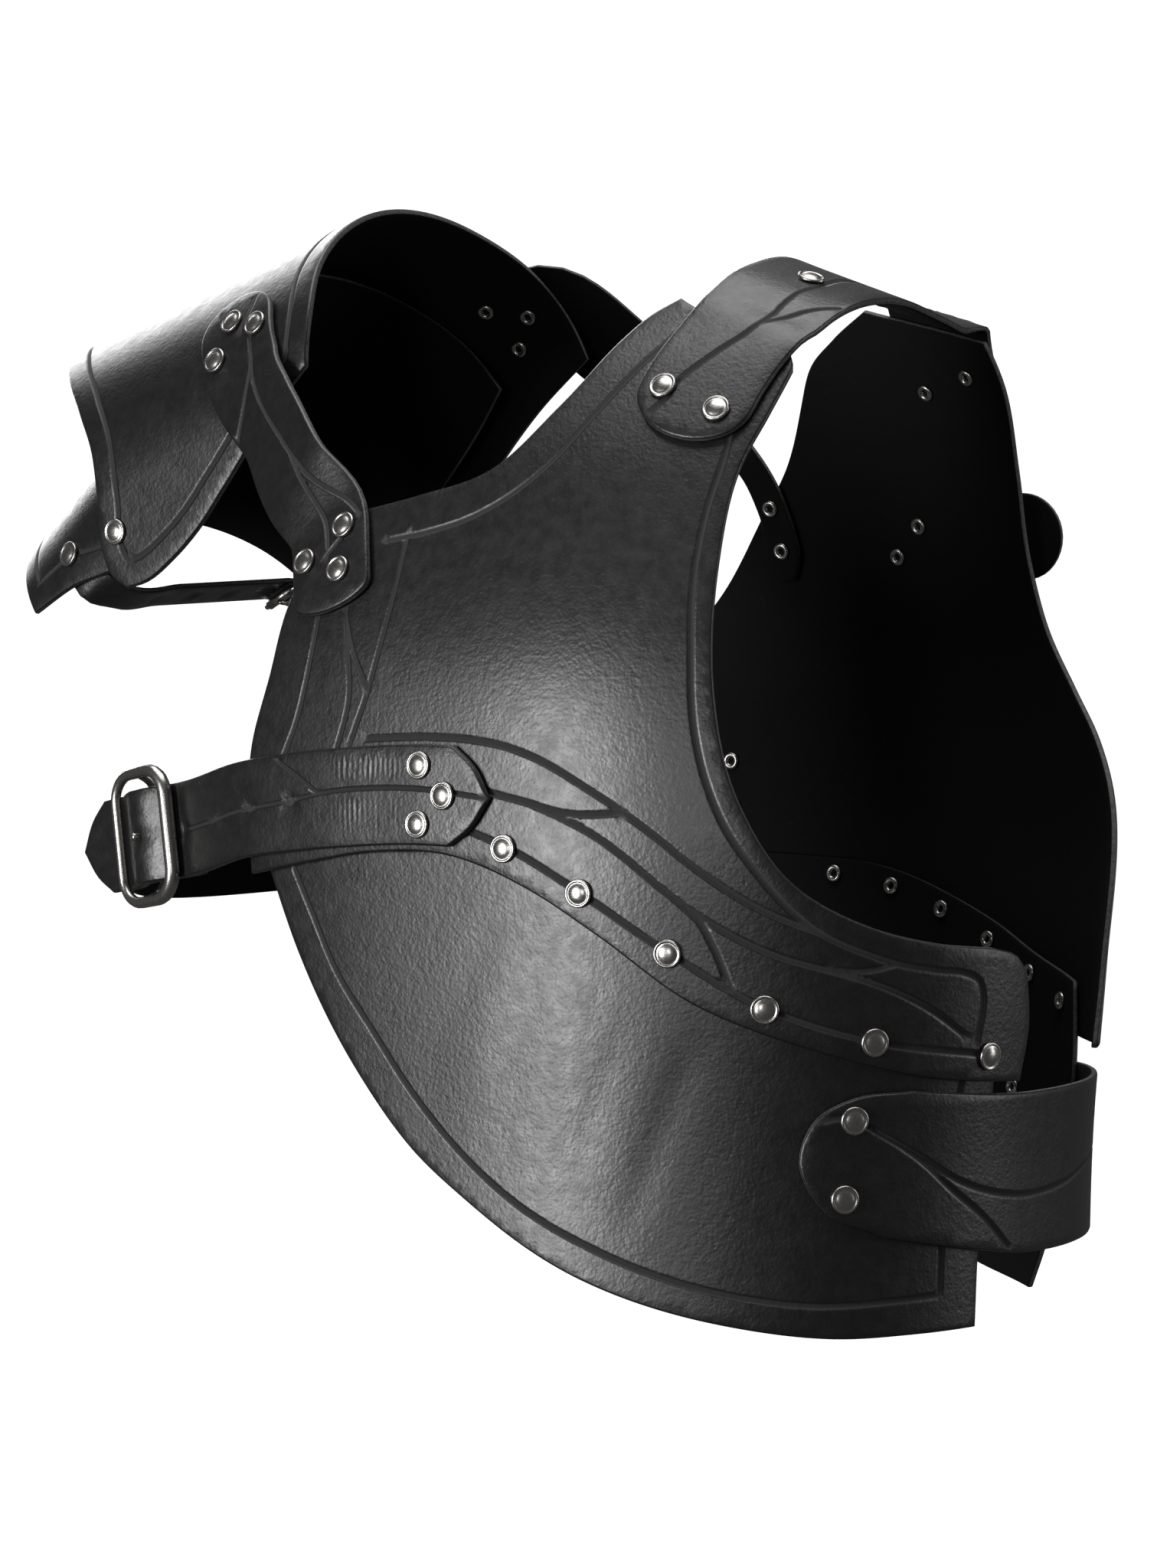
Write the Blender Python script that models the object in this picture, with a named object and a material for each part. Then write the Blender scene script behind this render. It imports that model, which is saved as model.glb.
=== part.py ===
"""One-shouldered leather cuirass: breast and back over hanging hip plates, one shoulder band,
and a two-lame pauldron carried on straps over the other shoulder. Metres, +Z up.

The wearer faces -Y, and the wearer's left is +X. The origin lies on the mid-plane at the height
where the shoulder band rests on the shoulder, and the rest hangs below it.
"""
import bmesh
import bpy
from math import atan2, cos, degrees, pi, radians, sin
from mathutils import Vector
from mathutils.geometry import delaunay_2d_cdt

# Sizes of the body form that the leather is moulded on
TORSO_HEIGHT = 0.465
CHEST_HALF_WIDTH = 0.205
FRONT_DEPTH = 0.150
REAR_DEPTH = 0.135
SQUARENESS = 2.5

# Sizes of the leather and of how its layers lie
LEATHER = 0.003
LAYER_GAP = 0.0008
LAYER = LEATHER + LAYER_GAP
PLATE_OVERLAP = 0.022

# Sizes of the straps and bands
SHOULDER_BAND_WIDTH = 0.052
WAIST_STRAP_WIDTH = 0.040
PAULDRON_STRAP_WIDTH = 0.040
REAR_STRAP_WIDTH = 0.042
REAR_TONGUE_WIDTH = 0.015
ARM_STRAP_WIDTH = 0.018
ARM_LEATHER = 0.0025
ARM_HOLE = 0.004
ARM_HOLE_PITCH = 0.024
BACK_TAB_WIDTH = 0.038
STRAP_HOLE = 0.0045

# Sizes of the rivets
RIVET_SHANK = 0.004
RIVET_CAP = 0.0115
RIVET_DOME = 0.0022
RIVET_BACK = 0.008
RIVET_BACK_HEIGHT = 0.001
RIVET_CLEARANCE = 0.0004
RIVET_SEAT = 0.0004
RIVET_SIDES = 8

# Sizes of the pauldron
PAULDRON_ARCH = 0.090
PAULDRON_RISE = 0.082
PAULDRON_LENGTH = 0.215
PAULDRON_TILT = 18
LOWER_LAME_LENGTH = 0.168
LOWER_LAME_RISE = 0.056
LOWER_LAME_TILT = 42

# Sizes of the waist buckle, a frame with a middle bar and a fixed stud
BUCKLE_LENGTH = 0.036
BUCKLE_HEIGHT = 0.055
BUCKLE_WIRE = 0.0050
BUCKLE_BAR = 0.0040
BUCKLE_CORNER = 0.012
BUCKLE_STUD = 0.0034

# Sizes of the arm buckle
ARM_BUCKLE_LENGTH = 0.018
ARM_BUCKLE_WIRE = 0.0026
ARM_BUCKLE_ROLLER = 0.0046

# Spacing of the facets
TURN_STEP = 6
DROP_STEP = 0.031
EDGE_STEP = 0.016
METRES_PER_DEGREE = CHEST_HALF_WIDTH * 0.9 * pi / 180

LEATHER_COLOUR = (0.012, 0.012, 0.013, 1)
NICKEL_COLOUR = (0.62, 0.62, 0.60, 1)

for old in list(bpy.data.objects):
    bpy.data.objects.remove(old)


def finish(name, colour, roughness, metallic):
    """A plain material for one of the part's finishes."""
    material = bpy.data.materials.new(name)
    material.use_nodes = True
    shader = material.node_tree.nodes["Principled BSDF"]
    shader.inputs["Base Color"].default_value = colour
    shader.inputs["Roughness"].default_value = roughness
    shader.inputs["Metallic"].default_value = metallic
    return material


BLACK_LEATHER = finish("black_leather", LEATHER_COLOUR, 0.4, 0)
SATIN_NICKEL = finish("satin_nickel", NICKEL_COLOUR, 0.3, 1)


def smooth_value(rows, at, column):
    """Value of one column of a table at a place down its first column, on a smooth curve."""
    if at <= rows[0][0]:
        return rows[0][column]
    if at >= rows[-1][0]:
        return rows[-1][column]
    below = max(i for i in range(len(rows) - 1) if rows[i][0] <= at)
    before, low, high, after = (rows[min(max(i, 0), len(rows) - 1)]
                                for i in range(below - 1, below + 3))
    step = high[0] - low[0]
    share = (at - low[0]) / step
    start = step * (high[column] - before[column]) / (high[0] - before[0])
    end = step * (after[column] - low[column]) / (after[0] - low[0])
    square, cube = share ** 2, share ** 3
    return ((2 * cube - 3 * square + 1) * low[column] + (cube - 2 * square + share) * start
            + (3 * square - 2 * cube) * high[column] + (cube - square) * end)


def smooth_run(stops, spacing):
    """Points on a smooth curve through the stops, about as far apart as the spacing."""
    stops = [Vector(stop) for stop in stops]
    legs = [(b - a).length for a, b in zip(stops, stops[1:])]
    slopes = [(b - a) / leg for a, b, leg in zip(stops, stops[1:], legs)]
    bends = [slopes[0]]
    for i in range(1, len(legs)):
        bends.append((slopes[i - 1] * legs[i] + slopes[i] * legs[i - 1]) / (legs[i - 1] + legs[i]))
    bends.append(slopes[-1])
    points = []
    for i, leg in enumerate(legs):
        count = max(1, round(leg / spacing))
        for k in range(count):
            t = k / count
            points.append((2 * t ** 3 - 3 * t ** 2 + 1) * stops[i] + (t ** 3 - 2 * t ** 2 + t) * leg * bends[i]
                          + (3 * t ** 2 - 2 * t ** 3) * stops[i + 1] + (t ** 3 - t ** 2) * leg * bends[i + 1])
    return points + [stops[-1]]


def joined(*runs):
    """One closed outline from runs that end where the next one starts."""
    outline = []
    for run in runs:
        outline += run[:-1]
    return outline


# Body form: level sections, whose columns are the drop as a share of TORSO_HEIGHT, the half width
# of CHEST_HALF_WIDTH, and the depths in front and behind of FRONT_DEPTH and REAR_DEPTH
BODY_SECTIONS = (
    (0.00, 0.86, 0.33, 0.44),
    (0.06, 0.88, 0.45, 0.60),
    (0.13, 0.89, 0.63, 0.76),
    (0.22, 0.90, 0.80, 0.90),
    (0.36, 0.95, 0.96, 1.00),
    (0.50, 1.00, 1.00, 1.00),
    (0.64, 0.98, 1.00, 0.95),
    (0.80, 0.95, 1.00, 0.93),
    (1.00, 0.94, 1.03, 0.93),
)


def body_skin(turn, drop):
    """Point of the body form at a turn in degrees from the front to the left, and a drop."""
    share = drop / TORSO_HEIGHT
    side, ahead = sin(radians(turn)), cos(radians(turn))
    half_width = smooth_value(BODY_SECTIONS, share, 1) * CHEST_HALF_WIDTH
    if ahead > 0:
        depth = smooth_value(BODY_SECTIONS, share, 2) * FRONT_DEPTH
    else:
        depth = smooth_value(BODY_SECTIONS, share, 3) * REAR_DEPTH
    reach = (abs(side / half_width) ** SQUARENESS + abs(ahead / depth) ** SQUARENESS) ** (-1 / SQUARENESS)
    return Vector((reach * side, -reach * ahead, -drop))


def body_outward(turn, drop):
    """Direction straight out of the body form."""
    across = body_skin(turn + 1, drop) - body_skin(turn - 1, drop)
    down = body_skin(turn, drop + 0.002) - body_skin(turn, drop - 0.002)
    return down.cross(across).normalized()


def body(turn, drop, height):
    """Point at a height above the body form."""
    return body_skin(turn, drop) + height * body_outward(turn, drop)


def body_place(point):
    """Turn and drop of the place on the body form under a point."""
    near = point.copy()
    for _ in range(4):
        turn, drop = degrees(atan2(near.x, -near.y)), -near.z
        outward = body_outward(turn, drop)
        near = point - outward * (point - body_skin(turn, drop)).dot(outward)
    return degrees(atan2(near.x, -near.y)), -near.z


def on_body(point, height):
    """A point laid at a height above the body form."""
    turn, drop = body_place(point)
    return body(turn, drop, height)


class Lame:
    """An arched plate of the pauldron: a half round with straight skirts, along a tilted axis."""

    def __init__(self, crest, tilt, length, arches, rises, widest=1):
        self.crest = Vector(crest)
        self.along = Vector((-cos(radians(tilt)), 0, -sin(radians(tilt))))
        self.up = Vector((-sin(radians(tilt)), 0, cos(radians(tilt))))
        self.length, self.arches, self.rises, self.widest = length, arches, rises, widest

    def arch(self, share):
        """Half width and rise at a share of the length; the width grows only up to the widest share."""
        spread = min(1, share / self.widest)
        return (self.arches[0] + (self.arches[1] - self.arches[0]) * spread,
                self.rises[0] + (self.rises[1] - self.rises[0]) * share)

    def skin(self, share, angle):
        """Point at an angle from the crest to the rear; past 90 degrees it runs straight down."""
        half_width, rise = self.arch(share)
        bend = radians(max(-90, min(90, angle)))
        skirt = rise * radians(max(0, abs(angle) - 90))
        return (self.crest + self.along * self.length * share + Vector((0, half_width * sin(bend), 0))
                + self.up * (rise * (cos(bend) - 1) - skirt))

    def outward(self, share, angle):
        around = self.skin(share, angle + 1) - self.skin(share, angle - 1)
        along = self.skin(share + 0.01, angle) - self.skin(share - 0.01, angle)
        return around.cross(along).normalized()

    def at(self, share, angle, height):
        return self.skin(share, angle) + height * self.outward(share, angle)

    def place(self, point):
        """Share and angle of the place on the lame under a point."""
        near = point
        for _ in range(5):
            away = near - self.crest
            share = away.dot(self.along) / self.length
            half_width, rise = self.arch(share)
            above = away.dot(self.up) + rise
            if above >= 0:
                angle = degrees(atan2(away.y / half_width, above / rise))
            else:
                angle = (90 + degrees(-above / rise)) * (1 if away.y > 0 else -1)
            outward = self.outward(share, angle)
            near = point - outward * (point - self.skin(share, angle)).dot(outward)
        return share, angle

    def on(self, point, height):
        return self.at(*self.place(point), height)


UPPER_LAME = Lame((-0.113, -0.005, 0.026), PAULDRON_TILT, PAULDRON_LENGTH,
                  (PAULDRON_ARCH, PAULDRON_ARCH), (PAULDRON_RISE, PAULDRON_RISE * 1.15))
# Where both lames are pinned, as the upper lame's length share and angle
PIVOT_SHARE = 0.62
PIVOT_ANGLE = 100
# The lower lame lies one layer inside the upper one at the pins, and narrows from there to the neck
LOWER_PIVOT_SHARE = 0.62
LOWER_WIDEST = 0.5
LOWER_TAPER = 0.014
LOWER_ARCH = PAULDRON_ARCH - LAYER
LOWER_LAME = Lame((0, 0, 0), LOWER_LAME_TILT, LOWER_LAME_LENGTH, (LOWER_ARCH - LOWER_TAPER, LOWER_ARCH),
                  (LOWER_LAME_RISE, LOWER_LAME_RISE * 1.14), LOWER_WIDEST)
LOWER_LAME.crest = UPPER_LAME.skin(PIVOT_SHARE, -PIVOT_ANGLE) - LOWER_LAME.skin(LOWER_PIVOT_SHARE, -90)
LOWER_LAME.crest.y = UPPER_LAME.crest.y


class Route:
    """The middle line of a strap's inner side, with the direction out of its outer side."""

    def __init__(self, stops):
        points = smooth_run([stop[0] for stop in stops], 0.002)
        outward = []
        for start, end in zip(stops, stops[1:]):
            count = max(1, round((Vector(end[0]) - Vector(start[0])).length / 0.002))
            outward += [Vector(start[1]).lerp(Vector(end[1]), k / count) for k in range(count)]
        self.points, self.outward = points, outward + [Vector(stops[-1][1])]
        self.travel = [0.0]
        for one, two in zip(points, points[1:]):
            self.travel.append(self.travel[-1] + (two - one).length)
        self.length = self.travel[-1]

    def at(self, distance):
        """Point, direction along, direction across and direction outward at a distance."""
        last = len(self.points) - 2
        i = next((k for k in range(last + 1) if self.travel[k + 1] >= distance), last)
        share = (distance - self.travel[i]) / (self.travel[i + 1] - self.travel[i])
        before = self.points[i] - self.points[max(i - 1, 0)]
        here = self.points[i + 1] - self.points[i]
        after = self.points[min(i + 2, last + 1)] - self.points[i + 1]
        start = (before.normalized() + here.normalized()).normalized()
        end = (here.normalized() + after.normalized()).normalized()
        along = start.lerp(end, max(0, min(1, share))).normalized()
        rough = self.outward[i].lerp(self.outward[i + 1], max(0, min(1, share)))
        outward = (rough - along * rough.dot(along)).normalized()
        return self.points[i] + here * share, along, outward.cross(along), outward

    def nearest(self, point):
        """Distance along the route of the place nearest to a point."""
        best = None
        for a, b, start in zip(self.points, self.points[1:], self.travel):
            share = max(0, min(1, (point - a).dot(b - a) / (b - a).length_squared))
            gap = (a.lerp(b, share) - point).length
            if best is None or gap < best[0]:
                best = (gap, start + share * (b - a).length)
        return best[1]

    def sheet(self, base, laid=()):
        """Place function of a strap whose inner side lies at a base height above the route.

        Each entry of laid is a start, an end, the fade length, a function that lays a point at a
        height above a form, and the height that the route itself has above that form.
        """
        def place(distance, across, depth):
            point, _, side, outward = self.at(distance)
            here = point + side * across
            free = here + outward * (base + depth)
            for start, end, fade, lay, height in laid:
                hold = min(1, max(0, (distance - start) / fade + 1)) * min(1, max(0, (end - distance) / fade + 1))
                if hold > 0:
                    hold = hold * hold * (3 - 2 * hold)
                    free = free.lerp(lay(here, height + base + depth), hold)
            return free
        return place


def inside(outline, point):
    """Whether a flat point lies within an outline."""
    within = False
    for a, b in zip(outline, outline[1:] + outline[:1]):
        if (a.y > point.y) != (b.y > point.y):
            if point.x < a.x + (point.y - a.y) / (b.y - a.y) * (b.x - a.x):
                within = not within
    return within


def clear_of(loop, point, margin):
    """Whether a flat point keeps a margin to every edge of a loop."""
    for a, b in zip(loop, loop[1:] + loop[:1]):
        edge = b - a
        share = max(0, min(1, (point - a).dot(edge) / max(edge.length_squared, 1e-12)))
        if (a + edge * share - point).length < margin:
            return False
    return True


def ring(centre, diameter, stretch=(1, 1), sides=6):
    """A round hole in a flat pattern, stretched so that it is round once it is lifted."""
    radius = diameter / 2
    return [Vector((centre[0] + radius * cos(2 * pi * k / sides) / stretch[0],
                    centre[1] + radius * sin(2 * pi * k / sides) / stretch[1])) for k in range(sides)]


def leather_piece(name, outline, holes, place, columns, rows, thickness=LEATHER, margin=0.006):
    """Fills a flat pattern with triangles and lifts it into one sheet with skins and edges."""
    outline = [Vector(point[:2]) for point in outline]
    loops = [outline, *holes]
    flat, edges = [], []
    for loop in loops:
        start = len(flat)
        flat += loop
        edges += [(start + k, start + (k + 1) % len(loop)) for k in range(len(loop))]
    for x in columns:
        for y in rows:
            point = Vector((x, y))
            if inside(outline, point) and clear_of(outline, point, margin):
                if all(clear_of(hole, point, margin * 0.8) for hole in holes):
                    flat.append(point)
    flat, _, faces, *_ = delaunay_2d_cdt(flat, edges, [], 0, 1e-7)
    kept = []
    for face in faces:
        middle = sum((flat[i] for i in face), Vector((0, 0))) / len(face)
        if inside(outline, middle) and not any(inside(hole, middle) for hole in holes):
            kept.append(face)
    mesh = bmesh.new()
    outer = [mesh.verts.new(place(point.x, point.y, thickness)) for point in flat]
    inner = [mesh.verts.new(place(point.x, point.y, 0)) for point in flat]
    used = {}
    for face in kept:
        mesh.faces.new([outer[i] for i in face])
        mesh.faces.new([inner[i] for i in reversed(face)])
        for a, b in zip(face, face[1:] + face[:1]):
            used[(a, b)] = True
    for a, b in used:
        if (b, a) not in used:
            mesh.faces.new((outer[b], outer[a], inner[a], inner[b]))
    bmesh.ops.delete(mesh, geom=[v for v in mesh.verts if not v.link_faces], context="VERTS")
    bmesh.ops.triangulate(mesh, faces=mesh.faces[:])
    bmesh.ops.recalc_face_normals(mesh, faces=mesh.faces[:])
    return add_object(name, mesh, BLACK_LEATHER)


def add_object(name, mesh, material):
    """Turns a bmesh into a named object, with its faces pointing out."""
    data = bpy.data.meshes.new(name)
    if mesh.calc_volume(signed=True) < 0:
        bmesh.ops.reverse_faces(mesh, faces=mesh.faces[:])
    mesh.to_mesh(data)
    mesh.free()
    data.materials.append(material)
    data.shade_smooth()
    data.set_sharp_from_angle(angle=radians(35))
    thing = bpy.data.objects.new(name, data)
    bpy.context.scene.collection.objects.link(thing)
    return thing


def steps(start, end, spacing):
    """Evenly spaced values from start to end."""
    count = max(1, round((end - start) / spacing))
    return [start + (end - start) * k / count for k in range(count + 1)]


# Plates on the body form. A flat pattern's x is the turn times METRES_PER_DEGREE, its y the drop.
def pattern(*stops):
    """Stops given as a turn in degrees and a drop as a share of TORSO_HEIGHT, as flat points."""
    return [(turn * METRES_PER_DEGREE, share * TORSO_HEIGHT) for turn, share in stops]


def run(*stops):
    return smooth_run(pattern(*stops), EDGE_STEP)


def body_hole(turn, drop, diameter):
    """A hole in a plate, round once it is lifted."""
    centre, outward = body_skin(turn, drop), body_outward(turn, drop)
    side = outward.orthogonal().normalized()
    rim = []
    for angle in range(0, 360, 60):
        away = side * cos(radians(angle)) + outward.cross(side) * sin(radians(angle))
        rim_turn, rim_drop = body_place(centre + away * diameter / 2)
        rim_turn += 360 * round((turn - rim_turn) / 360)
        rim.append(Vector((rim_turn * METRES_PER_DEGREE, rim_drop)))
    return rim


def plate(name, outline, holes, height):
    """A plate of leather laid at a height above the body form."""
    def place(x, y, depth):
        return body(x / METRES_PER_DEGREE, y, height + depth)
    turns = [point[0] / METRES_PER_DEGREE for point in outline]
    first = int(min(turns) // TURN_STEP) + 1
    last = int(max(turns) // TURN_STEP)
    columns = [k * TURN_STEP * METRES_PER_DEGREE for k in range(first, last + 1)]
    rows = [k * DROP_STEP for k in range(int(TORSO_HEIGHT / DROP_STEP) + 2)]
    cuts = [body_hole(turn + 360 * (turn < min(turns)), drop, SHANK_HOLE) for turn, drop in holes]
    return leather_piece(name, outline, cuts, place, columns, rows)


SHANK_HOLE = (RIVET_SHANK + 2 * RIVET_CLEARANCE) / cos(pi / 6)
INNER = 0.0
OUTER = LAYER
TOP = 2 * LAYER


def rivet(name, foot, outward, low, high):
    """A capped rivet from an inner height to an outer height on the axis through a foot."""
    outward = outward.normalized()
    sideways = outward.orthogonal().normalized()
    other = outward.cross(sideways)
    low, high = low - RIVET_SEAT, high + RIVET_SEAT
    mesh = bmesh.new()

    def circle(diameter, height):
        return [mesh.verts.new(foot + outward * height
                               + (sideways * cos(2 * pi * k / RIVET_SIDES) + other * sin(2 * pi * k / RIVET_SIDES))
                               * diameter / 2) for k in range(RIVET_SIDES)]

    back_low = circle(RIVET_BACK * 0.8, low - RIVET_BACK_HEIGHT)
    back_high = circle(RIVET_BACK, low)
    shank_low = circle(RIVET_SHANK, low)
    shank_high = circle(RIVET_SHANK, high)
    cap_low = circle(RIVET_CAP, high)
    cap_high = circle(RIVET_CAP * 0.66, high + RIVET_DOME * 0.8)
    top = mesh.verts.new(foot + outward * (high + RIVET_DOME))
    mesh.faces.new(list(reversed(back_low)))
    for one, two in ((back_low, back_high), (back_high, shank_low), (shank_low, shank_high),
                     (shank_high, cap_low), (cap_low, cap_high)):
        for k in range(RIVET_SIDES):
            mesh.faces.new((one[k], one[(k + 1) % RIVET_SIDES], two[(k + 1) % RIVET_SIDES], two[k]))
    for a, b in zip(cap_high, cap_high[1:] + cap_high[:1]):
        mesh.faces.new((a, b, top))
    bmesh.ops.triangulate(mesh, faces=mesh.faces[:])
    bmesh.ops.recalc_face_normals(mesh, faces=mesh.faces[:])
    return add_object(name, mesh, SATIN_NICKEL)


def body_rivets(stem, places, low, high):
    """Rivets set square to the body form, numbered from 1."""
    for number, (turn, drop) in enumerate(places, 1):
        rivet(f"{stem}_{number}", body_skin(turn, drop), body_outward(turn, drop), low, high)


def shares(*places):
    """Rivet places given as a turn and a share of TORSO_HEIGHT, as a turn and a drop."""
    return [(turn, share * TORSO_HEIGHT) for turn, share in places]


# Shoulder band: over the left shoulder, from a round end on the breast to one on the back


def body_stop(turn, share, height):
    drop = share * TORSO_HEIGHT
    return body(turn, drop, height), body_outward(turn, drop)


shoulder_route = Route((
    body_stop(41.6, 0.187, TOP),
    body_stop(44.1, 0.166, TOP),
    body_stop(48.0, 0.135, TOP),
    body_stop(52.6, 0.108, TOP),
    (Vector((0.1075, -0.0694, -0.0347)), Vector((0.32, -0.54, 0.78))),
    (Vector((0.1098, -0.0547, -0.0255)), Vector((0.36, -0.43, 0.83))),
    (Vector((0.1105, -0.0383, -0.0200)), Vector((0.37, -0.23, 0.90))),
    (Vector((0.1102, -0.0198, -0.0170)), Vector((0.38, -0.06, 0.92))),
    (Vector((0.1103, -0.0013, -0.0177)), Vector((0.34, 0.10, 0.94))),
    (Vector((0.1087, 0.0185, -0.0205)), Vector((0.32, 0.16, 0.93))),
    (Vector((0.1060, 0.0400, -0.0238)), Vector((0.29, 0.22, 0.92))),
    (Vector((0.1015, 0.0630, -0.0262)), Vector((0.24, 0.45, 0.86))),
    body_stop(129, 0.084, TOP + 0.0003),
    body_stop(132.5, 0.116, TOP),
    body_stop(136, 0.155, TOP),
))


def round_ended(start, end, width, start_round=0.0, end_round=0.0, bends=None):
    """Outline of a strap, with ends that are round by a share of the half width, or square at 0."""
    half = width / 2
    first, last = start + start_round * half, end - end_round * half
    if bends:
        along = [first, *(x for x in bends if first + 0.0005 < x < last - 0.0005), last]
    else:
        along = steps(first, last, EDGE_STEP)
    outline = [(x, -half) for x in along]
    if end_round:
        outline += [(end - end_round * half * (1 - sin(t)), -half * cos(t))
                    for t in (radians(a) for a in range(30, 180, 30))]
    outline += [(x, half) for x in reversed(along)]
    if start_round:
        outline += [(start + start_round * half * (1 - sin(t)), half * cos(t))
                    for t in (radians(a) for a in range(30, 180, 30))]
    return outline


def strap_places(place, spots):
    """Turn and drop of the places on the body form under spots on a strap."""
    return [body_place(place(along, across, 0)) for along, across in spots]


def cut_strap(name, outline, spots, place, punched=(), thickness=LEATHER, spacing=EDGE_STEP, bends=None,
              rows=(-0.45, 0.45), margin=0.006):
    """A strap cut from its outline, with a rivet hole at each spot and any punched holes."""
    cuts = [ring(spot, SHANK_HOLE) for spot in spots] + list(punched)
    xs = [point[0] for point in outline]
    half = max(point[1] for point in outline)
    return leather_piece(name, outline, cuts, place, bends or steps(min(xs), max(xs), spacing),
                         [half * row for row in rows], thickness, margin)


shoulder_length = shoulder_route.length
FRONT_LAID = 0.056
REAR_LAID = 0.053
BAND_FADE = 0.015
shoulder_place = shoulder_route.sheet(0, (
    (0, FRONT_LAID, BAND_FADE, on_body, TOP),
    (shoulder_length - REAR_LAID, shoulder_length, BAND_FADE, on_body, TOP)))
shoulder_front_spots = ((0.0200, 0.0145), (0.0158, -0.0120))
shoulder_rear_spots = ((shoulder_length - 0.026, -0.0130), (shoulder_length - 0.015, 0.0130))
shoulder_front = strap_places(shoulder_place, shoulder_front_spots)
shoulder_rear = strap_places(shoulder_place, shoulder_rear_spots)
band_bends = steps(0, shoulder_length, 0.010)
cut_strap("shoulder_band", round_ended(0, shoulder_length, SHOULDER_BAND_WIDTH, 0.8, 0.8, band_bends),
          shoulder_front_spots + shoulder_rear_spots, shoulder_place, bends=band_bends, rows=(-0.5, 0, 0.5),
          margin=0.005)

# Waist straps: they lie on each other through the buckle, then the front one's tail runs out
# straight and the rear one turns round the open right side to the back
BUCKLE_CENTRE = Vector((-0.159, -0.1367, -0.246))
BUCKLE_HEADING = Vector((-0.965, 0.245, -0.17)).normalized()
BUCKLE_OUTWARD = Vector((-0.24, -0.97, 0))
BUCKLE_OUTWARD = (BUCKLE_OUTWARD - BUCKLE_HEADING * BUCKLE_OUTWARD.dot(BUCKLE_HEADING)).normalized()
BUCKLE_UP = BUCKLE_HEADING.cross(BUCKLE_OUTWARD)
MIDDLE_BAR_DEPTH = 0.006
STRAPS_THICKNESS = LAYER + LEATHER
SIDE_BAR_LEVEL = -(BUCKLE_WIRE / 2 + STRAPS_THICKNESS + 0.0014)
MIDDLE_BAR_LEVEL = BUCKLE_BAR / 2 - MIDDLE_BAR_DEPTH + 0.0008


def buckle_stop(share, level):
    """A stop at a share of the buckle's half length along, and at a level out of its plane."""
    return (BUCKLE_CENTRE + BUCKLE_HEADING * share * BUCKLE_LENGTH / 2 + BUCKLE_OUTWARD * level,
            BUCKLE_OUTWARD)


in_the_buckle = (
    buckle_stop(-1.7, SIDE_BAR_LEVEL),
    buckle_stop(-1, SIDE_BAR_LEVEL),
    buckle_stop(-0.5, (SIDE_BAR_LEVEL + MIDDLE_BAR_LEVEL) / 2),
    buckle_stop(0, MIDDLE_BAR_LEVEL),
    buckle_stop(0.5, (SIDE_BAR_LEVEL + MIDDLE_BAR_LEVEL) / 2),
    buckle_stop(1, SIDE_BAR_LEVEL),
    buckle_stop(1.15, SIDE_BAR_LEVEL))
front_waist_route = Route((
    body_stop(14, 0.487, OUTER),
    body_stop(0, 0.485, OUTER),
    body_stop(-14, 0.489, OUTER),
    body_stop(-26, 0.496, OUTER),
    body_stop(-33, 0.502, OUTER),
    *in_the_buckle,
    buckle_stop(1.7, SIDE_BAR_LEVEL),
    buckle_stop(3.4, SIDE_BAR_LEVEL + 0.001),
))
rear_waist_route = Route((
    body_stop(-33, 0.502, OUTER),
    *in_the_buckle,
    (Vector((-0.191, -0.104, -0.252)), Vector((-0.62, -0.78, 0))),
    (Vector((-0.207, -0.070, -0.256)), Vector((-0.90, -0.44, 0))),
    (Vector((-0.219, -0.028, -0.258)), Vector((-0.98, -0.20, 0))),
    (Vector((-0.222, 0.015, -0.258)), Vector((-1, 0.05, 0))),
    (Vector((-0.213, 0.060, -0.256)), Vector((-0.93, 0.37, 0))),
    body_stop(-123, 0.532, TOP + 0.002),
    body_stop(-136, 0.512, TOP),
    body_stop(-150, 0.498, TOP),
    body_stop(-164, 0.489, TOP),
    body_stop(-178, 0.485, TOP),
))
OVER_BAR = buckle_stop(0, MIDDLE_BAR_LEVEL)[0]
front_stud_at = front_waist_route.nearest(OVER_BAR)
rear_stud_at = rear_waist_route.nearest(OVER_BAR)
waist_leaves = front_waist_route.nearest(body_stop(-30, 0.500, OUTER)[0])
waist_lands = rear_waist_route.nearest(body_stop(-132, 0.517, TOP)[0])
front_waist_place = front_waist_route.sheet(LAYER, ((0, waist_leaves - 0.020, 0.020, on_body, OUTER),))
rear_waist_place = rear_waist_route.sheet(
    0, ((waist_lands + 0.020, rear_waist_route.length, 0.020, on_body, TOP),))
TIP_LENGTH = 0.018
WAIST_TAIL = 0.052
REAR_TAIL = 0.048
WAIST_ROWS = (-0.5, 0, 0.5)
# Both straps bend at the same places round the stud, so that one lies evenly on the other
STUD_BENDS = ([-0.0405 - 0.015 * k for k in range(16, 0, -1)] + [0.0045 * k for k in range(-9, 12)]
              + [0.0495 + 0.015 * k for k in range(1, 25)])


def waist_bends(stud_at, start, end):
    """Places between two distances where a waist strap bends."""
    return [start, *(stud_at + x for x in STUD_BENDS if start + 0.002 < stud_at + x < end - 0.002), end]


def pointed(start, end, width, tip, stud_at):
    """Outline of a waist strap with a pointed tip at either end."""
    half = width / 2
    between = waist_bends(stud_at, start + tip, end - tip)
    return [(start, 0), (start + tip * 0.45, -half * 0.62), *((x, -half) for x in between),
            (end - tip * 0.45, -half * 0.62), (end, 0), (end - tip * 0.45, half * 0.62),
            *((x, half) for x in reversed(between)), (start + tip * 0.45, half * 0.62)]


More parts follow.
